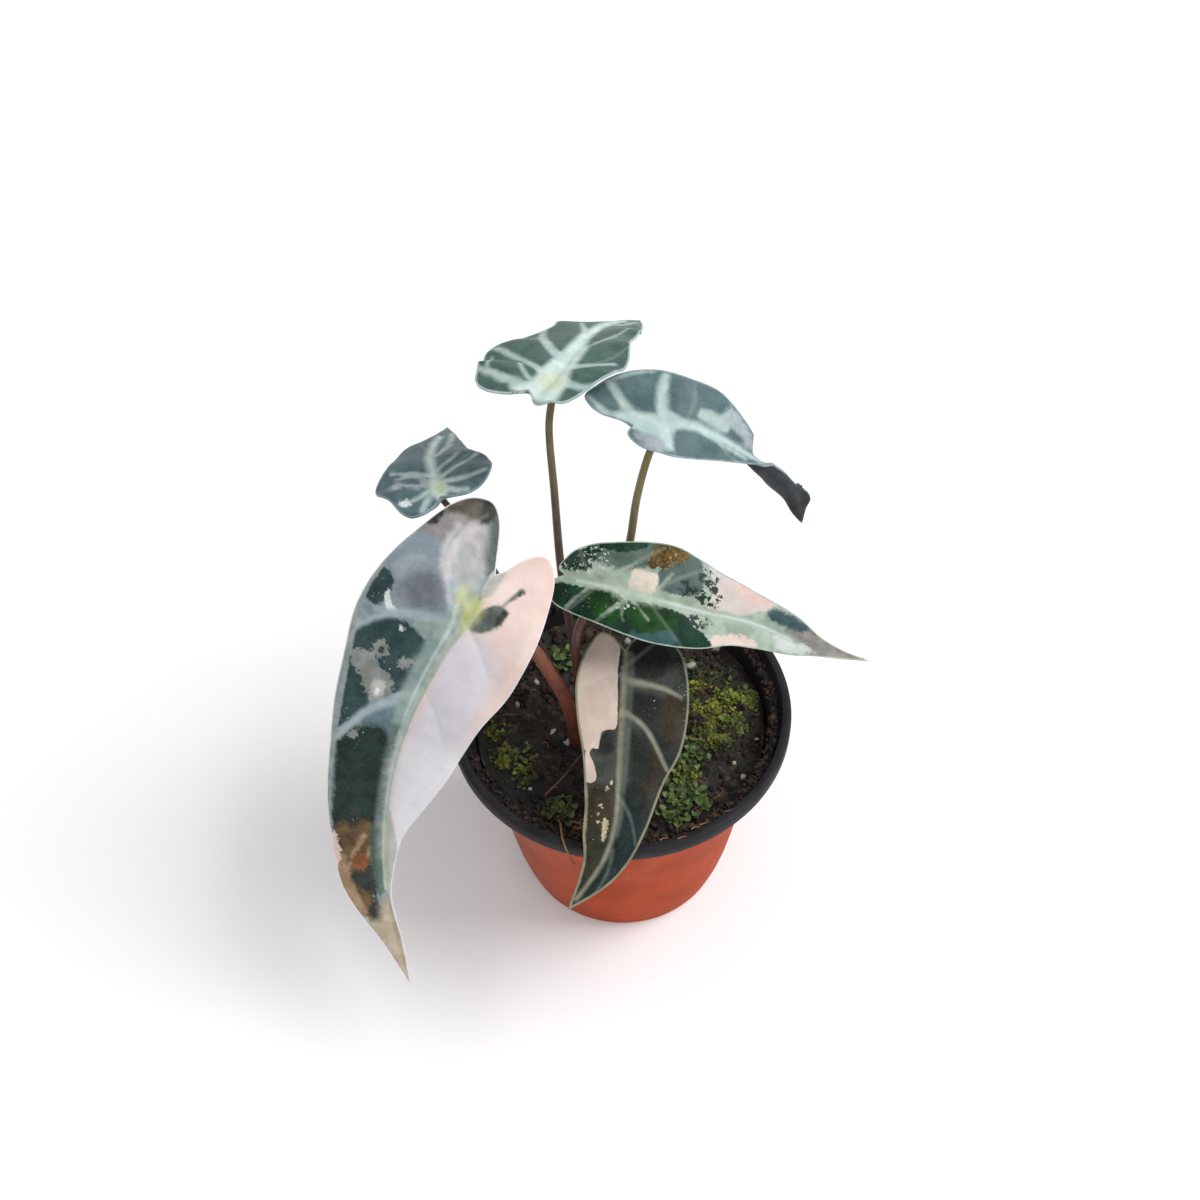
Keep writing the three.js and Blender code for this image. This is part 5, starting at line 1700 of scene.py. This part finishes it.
    def build_fibres(self) -> None:
        """Makes dry fibres and bits of stalk, a few of them hanging over the rim."""
        draw = random.Random(self.seed + 3)
        lines = []
        for _ in range(self.fibre_count):
            reach = (self.radius - 6) * math.sqrt(draw.random())
            x, y = around(reach, draw.uniform(0, FULL_TURN))
            lines.append(self.fibre(x, y, draw.uniform(0, FULL_TURN), draw.uniform(3, 9), draw))
        for _ in range(self.front_fibres):
            along = draw.random()
            x = -24 + 18 * along + draw.uniform(-3, 3)
            y = -37 - 7 * along + draw.uniform(-4, 4)
            if math.hypot(x, y) < self.radius - 3:
                lines.append(self.fibre(x, y, draw.uniform(-0.9, 0.7), draw.uniform(5, 13), draw))
        for _ in range(self.right_fibres):
            x, y = 27 + draw.uniform(-6, 9), -35 + draw.uniform(-5, 4)
            if math.hypot(x, y) < self.radius - 3:
                lines.append(self.fibre(x, y, draw.uniform(0, 1.4), draw.uniform(4, 10), draw))
        lines.append(self.strand([(-24, -29.6, 75), (-19, -24.6, 76), (-12.6, -16.7, 78)], 0.3))
        lines.append(self.strand(
            [(-20, -38, 73.5), (-19, -42.4, 78.8), (-18, -50.4, 82.7), (-16.4, -54, 80.4),
             (-14.6, -55.4, 77)], 0.35
        ))
        for number in range(self.rim_fibres):
            angle = math.radians(-78 + 3.4 * number + draw.uniform(-1.5, 1.5))
            reach = draw.uniform(50, 53.6)
            x, y = around(reach, angle)
            level = 82.15 if reach > 51.6 else 78.6
            bend = draw.uniform(-0.6, 0.6)
            lines.append(self.strand(
                [(x - 1.2, y - 0.3, level), (x, y + bend, level), (x + 1.4, y + 0.5, level)],
                0.22,
            ))
        piece = tubes(lines, 1)
        write_values(piece.data, "tone", noise_tones(piece.data, 6.0))
        finish = Litter("dry_root_fibre", "#3a281d", "#9a6a47", 0.75, 0.6)
        piece.data.materials.append(finish.build())
        hand_over(piece, "dry_fibres", 60, "soil")

    def fibre(
        self, x: float, y: float, heading: float, length: float, draw: random.Random
    ) -> Line:
        """A curved fibre lying on the soil.

        Args:
            x: Its start.
            y: Its start.
            heading: Its first direction in radians.
            length: Its length.
            draw: The source of random numbers.

        Returns:
            Its points and radii.
        """
        steps = 8
        points = []
        turn = draw.uniform(-0.25, 0.25)
        arch = draw.uniform(0.2, 1.6)
        for i in range(steps):
            share = i / (steps - 1)
            lift = arch * math.sin(math.pi * share) + 0.35
            points.append((x, y, self.place_on(x, y) + lift))
            heading += turn + draw.uniform(-0.2, 0.2)
            x += math.cos(heading) * length / steps
            y += math.sin(heading) * length / steps
            if math.hypot(x, y) > self.radius - 1:
                break
        radius = draw.uniform(0.12, 0.32)
        return np.array(points), np.linspace(radius, radius * 0.5, len(points))

    def strand(self, knots: list[Spot], radius: float) -> Line:
        """A smooth fibre through given points."""
        line = even_steps(np.array(knots, float), 24)
        return line, np.linspace(radius, radius * 0.6, 24)


def noise_tones(mesh: Mesh, size: float) -> np.ndarray:
    """Gives each vertex a tone from 0 to 1 that drifts from place to place.

    Args:
        mesh: The mesh.
        size: How wide the drifts are, in mm.

    Returns:
        One tone for each vertex.
    """
    tones = []
    for x, y, z in read_points(mesh) / (size * MM):
        tones.append(0.5 + 0.9 * noise.noise(Vector((x, y, z))))
    return np.clip(np.array(tones), 0, 1)


@dataclass
class Studio:
    """A plain pale floor, soft light from the right and behind, and the camera."""

    floor_size: float = 8.0
    floor_colour: str = "#f8f8f9"
    sky_strength: float = 0.55
    lens: float = 42.0
    sensor: float = 36.0
    place: Spot = (0.0, -0.2683, 0.4459)
    right: Spot = (0.9997, -0.0087, -0.0241)
    down: Spot = (-0.0223, -0.7588, -0.6509)
    forward: Spot = (-0.0126, 0.6512, -0.7588)

    def build(self) -> None:
        """Sets up the floor, the lights and the camera."""
        self.lay_floor()
        self.light("key", (3.6, 0.2, 4.6), 3.2, 245.0)
        self.light("fill", (1.2, -4.8, 4.4), 6.4, 95.0)
        self.set_sky()
        self.set_camera()
        bpy.context.scene.view_settings.view_transform = "Standard"

    def lay_floor(self) -> None:
        """Lays the pale floor."""
        bpy.ops.object.select_all(action="DESELECT")
        bpy.ops.mesh.primitive_plane_add(size=self.floor_size)
        floor = bpy.context.object
        floor.name = "studio_floor"
        material, add, _ = start_material("matt_white_paper")
        paper = add("BsdfPrincipled", {
            "Base Color": linear(self.floor_colour), "Roughness": 0.95, "Specular IOR Level": 0.0,
        })
        add("OutputMaterial", [paper])
        floor.data.materials.append(material)

    def light(self, name: str, place: Spot, size: float, power: float) -> None:
        """Hangs one square soft light that looks at the plant.

        Args:
            name: The light's name.
            place: Where it hangs, in metres.
            size: Its side, in metres.
            power: Its strength in watts.
        """
        bpy.ops.object.light_add(type="AREA", location=place)
        lamp = bpy.context.object
        lamp.name = f"studio_{name}"
        lamp.data.energy = power
        lamp.data.size = size
        aim = Vector((0, 0, 0.08)) - Vector(place)
        lamp.rotation_euler = aim.to_track_quat("-Z", "Y").to_euler()

    def set_sky(self) -> None:
        """Surrounds the scene with even white light."""
        world = bpy.data.worlds.new("studio_sky")
        world.use_nodes = True
        world.node_tree.nodes.clear()
        white = {"Color": (1, 1, 1, 1), "Strength": self.sky_strength}
        glow = add_node(world.node_tree, "Background", white)
        add_node(world.node_tree, "OutputWorld", [glow])
        bpy.context.scene.world = world

    def set_camera(self) -> None:
        """Puts the camera where the plant was seen from."""
        bpy.ops.object.camera_add(location=self.place)
        camera = bpy.context.object
        camera.name = "studio_camera"
        camera.data.lens = self.lens
        camera.data.sensor_width = self.sensor
        columns = Matrix((
            self.right,
            tuple(-value for value in self.down),
            tuple(-value for value in self.forward),
        )).transposed().to_4x4()
        camera.matrix_world = Matrix.Translation(self.place) @ columns
        camera.data.clip_start = 0.01
        bpy.context.scene.camera = camera


def main() -> None:
    """Builds the plant in its pot, then the studio round it."""
    logging.basicConfig(level=logging.INFO, format="%(message)s")
    Pot().build()
    soil = Soil()
    soil.build()
    soil.build_crumbs()
    soil.build_perlite()
    soil.build_greenery(
        "moss_cushions", soil.moss, 1.6,
        Litter("damp_moss_shoots", "#25301a", "#838a2e", 0.75, 1.0),
    )
    soil.build_greenery(
        "seedling_leaves", soil.seedlings, 2.4,
        Litter("fresh_seed_leaves", "#2a381a", "#667d3d", 0.55, 1.0),
    )
    soil.build_fibres()
    leaves = [
        Leaf(LARGE_LEFT, columns=230, rows=42), Leaf(SMALL_LEFT), Leaf(TOP_MIDDLE),
        Leaf(TOP_RIGHT), Leaf(RIGHT, columns=180, rows=36), Leaf(FRONT, columns=170, rows=36),
    ]
    for leaf in leaves:
        leaf.build()
        leaf.build_stalk()
    Studio().build()


if __name__ == "__main__":
    main()
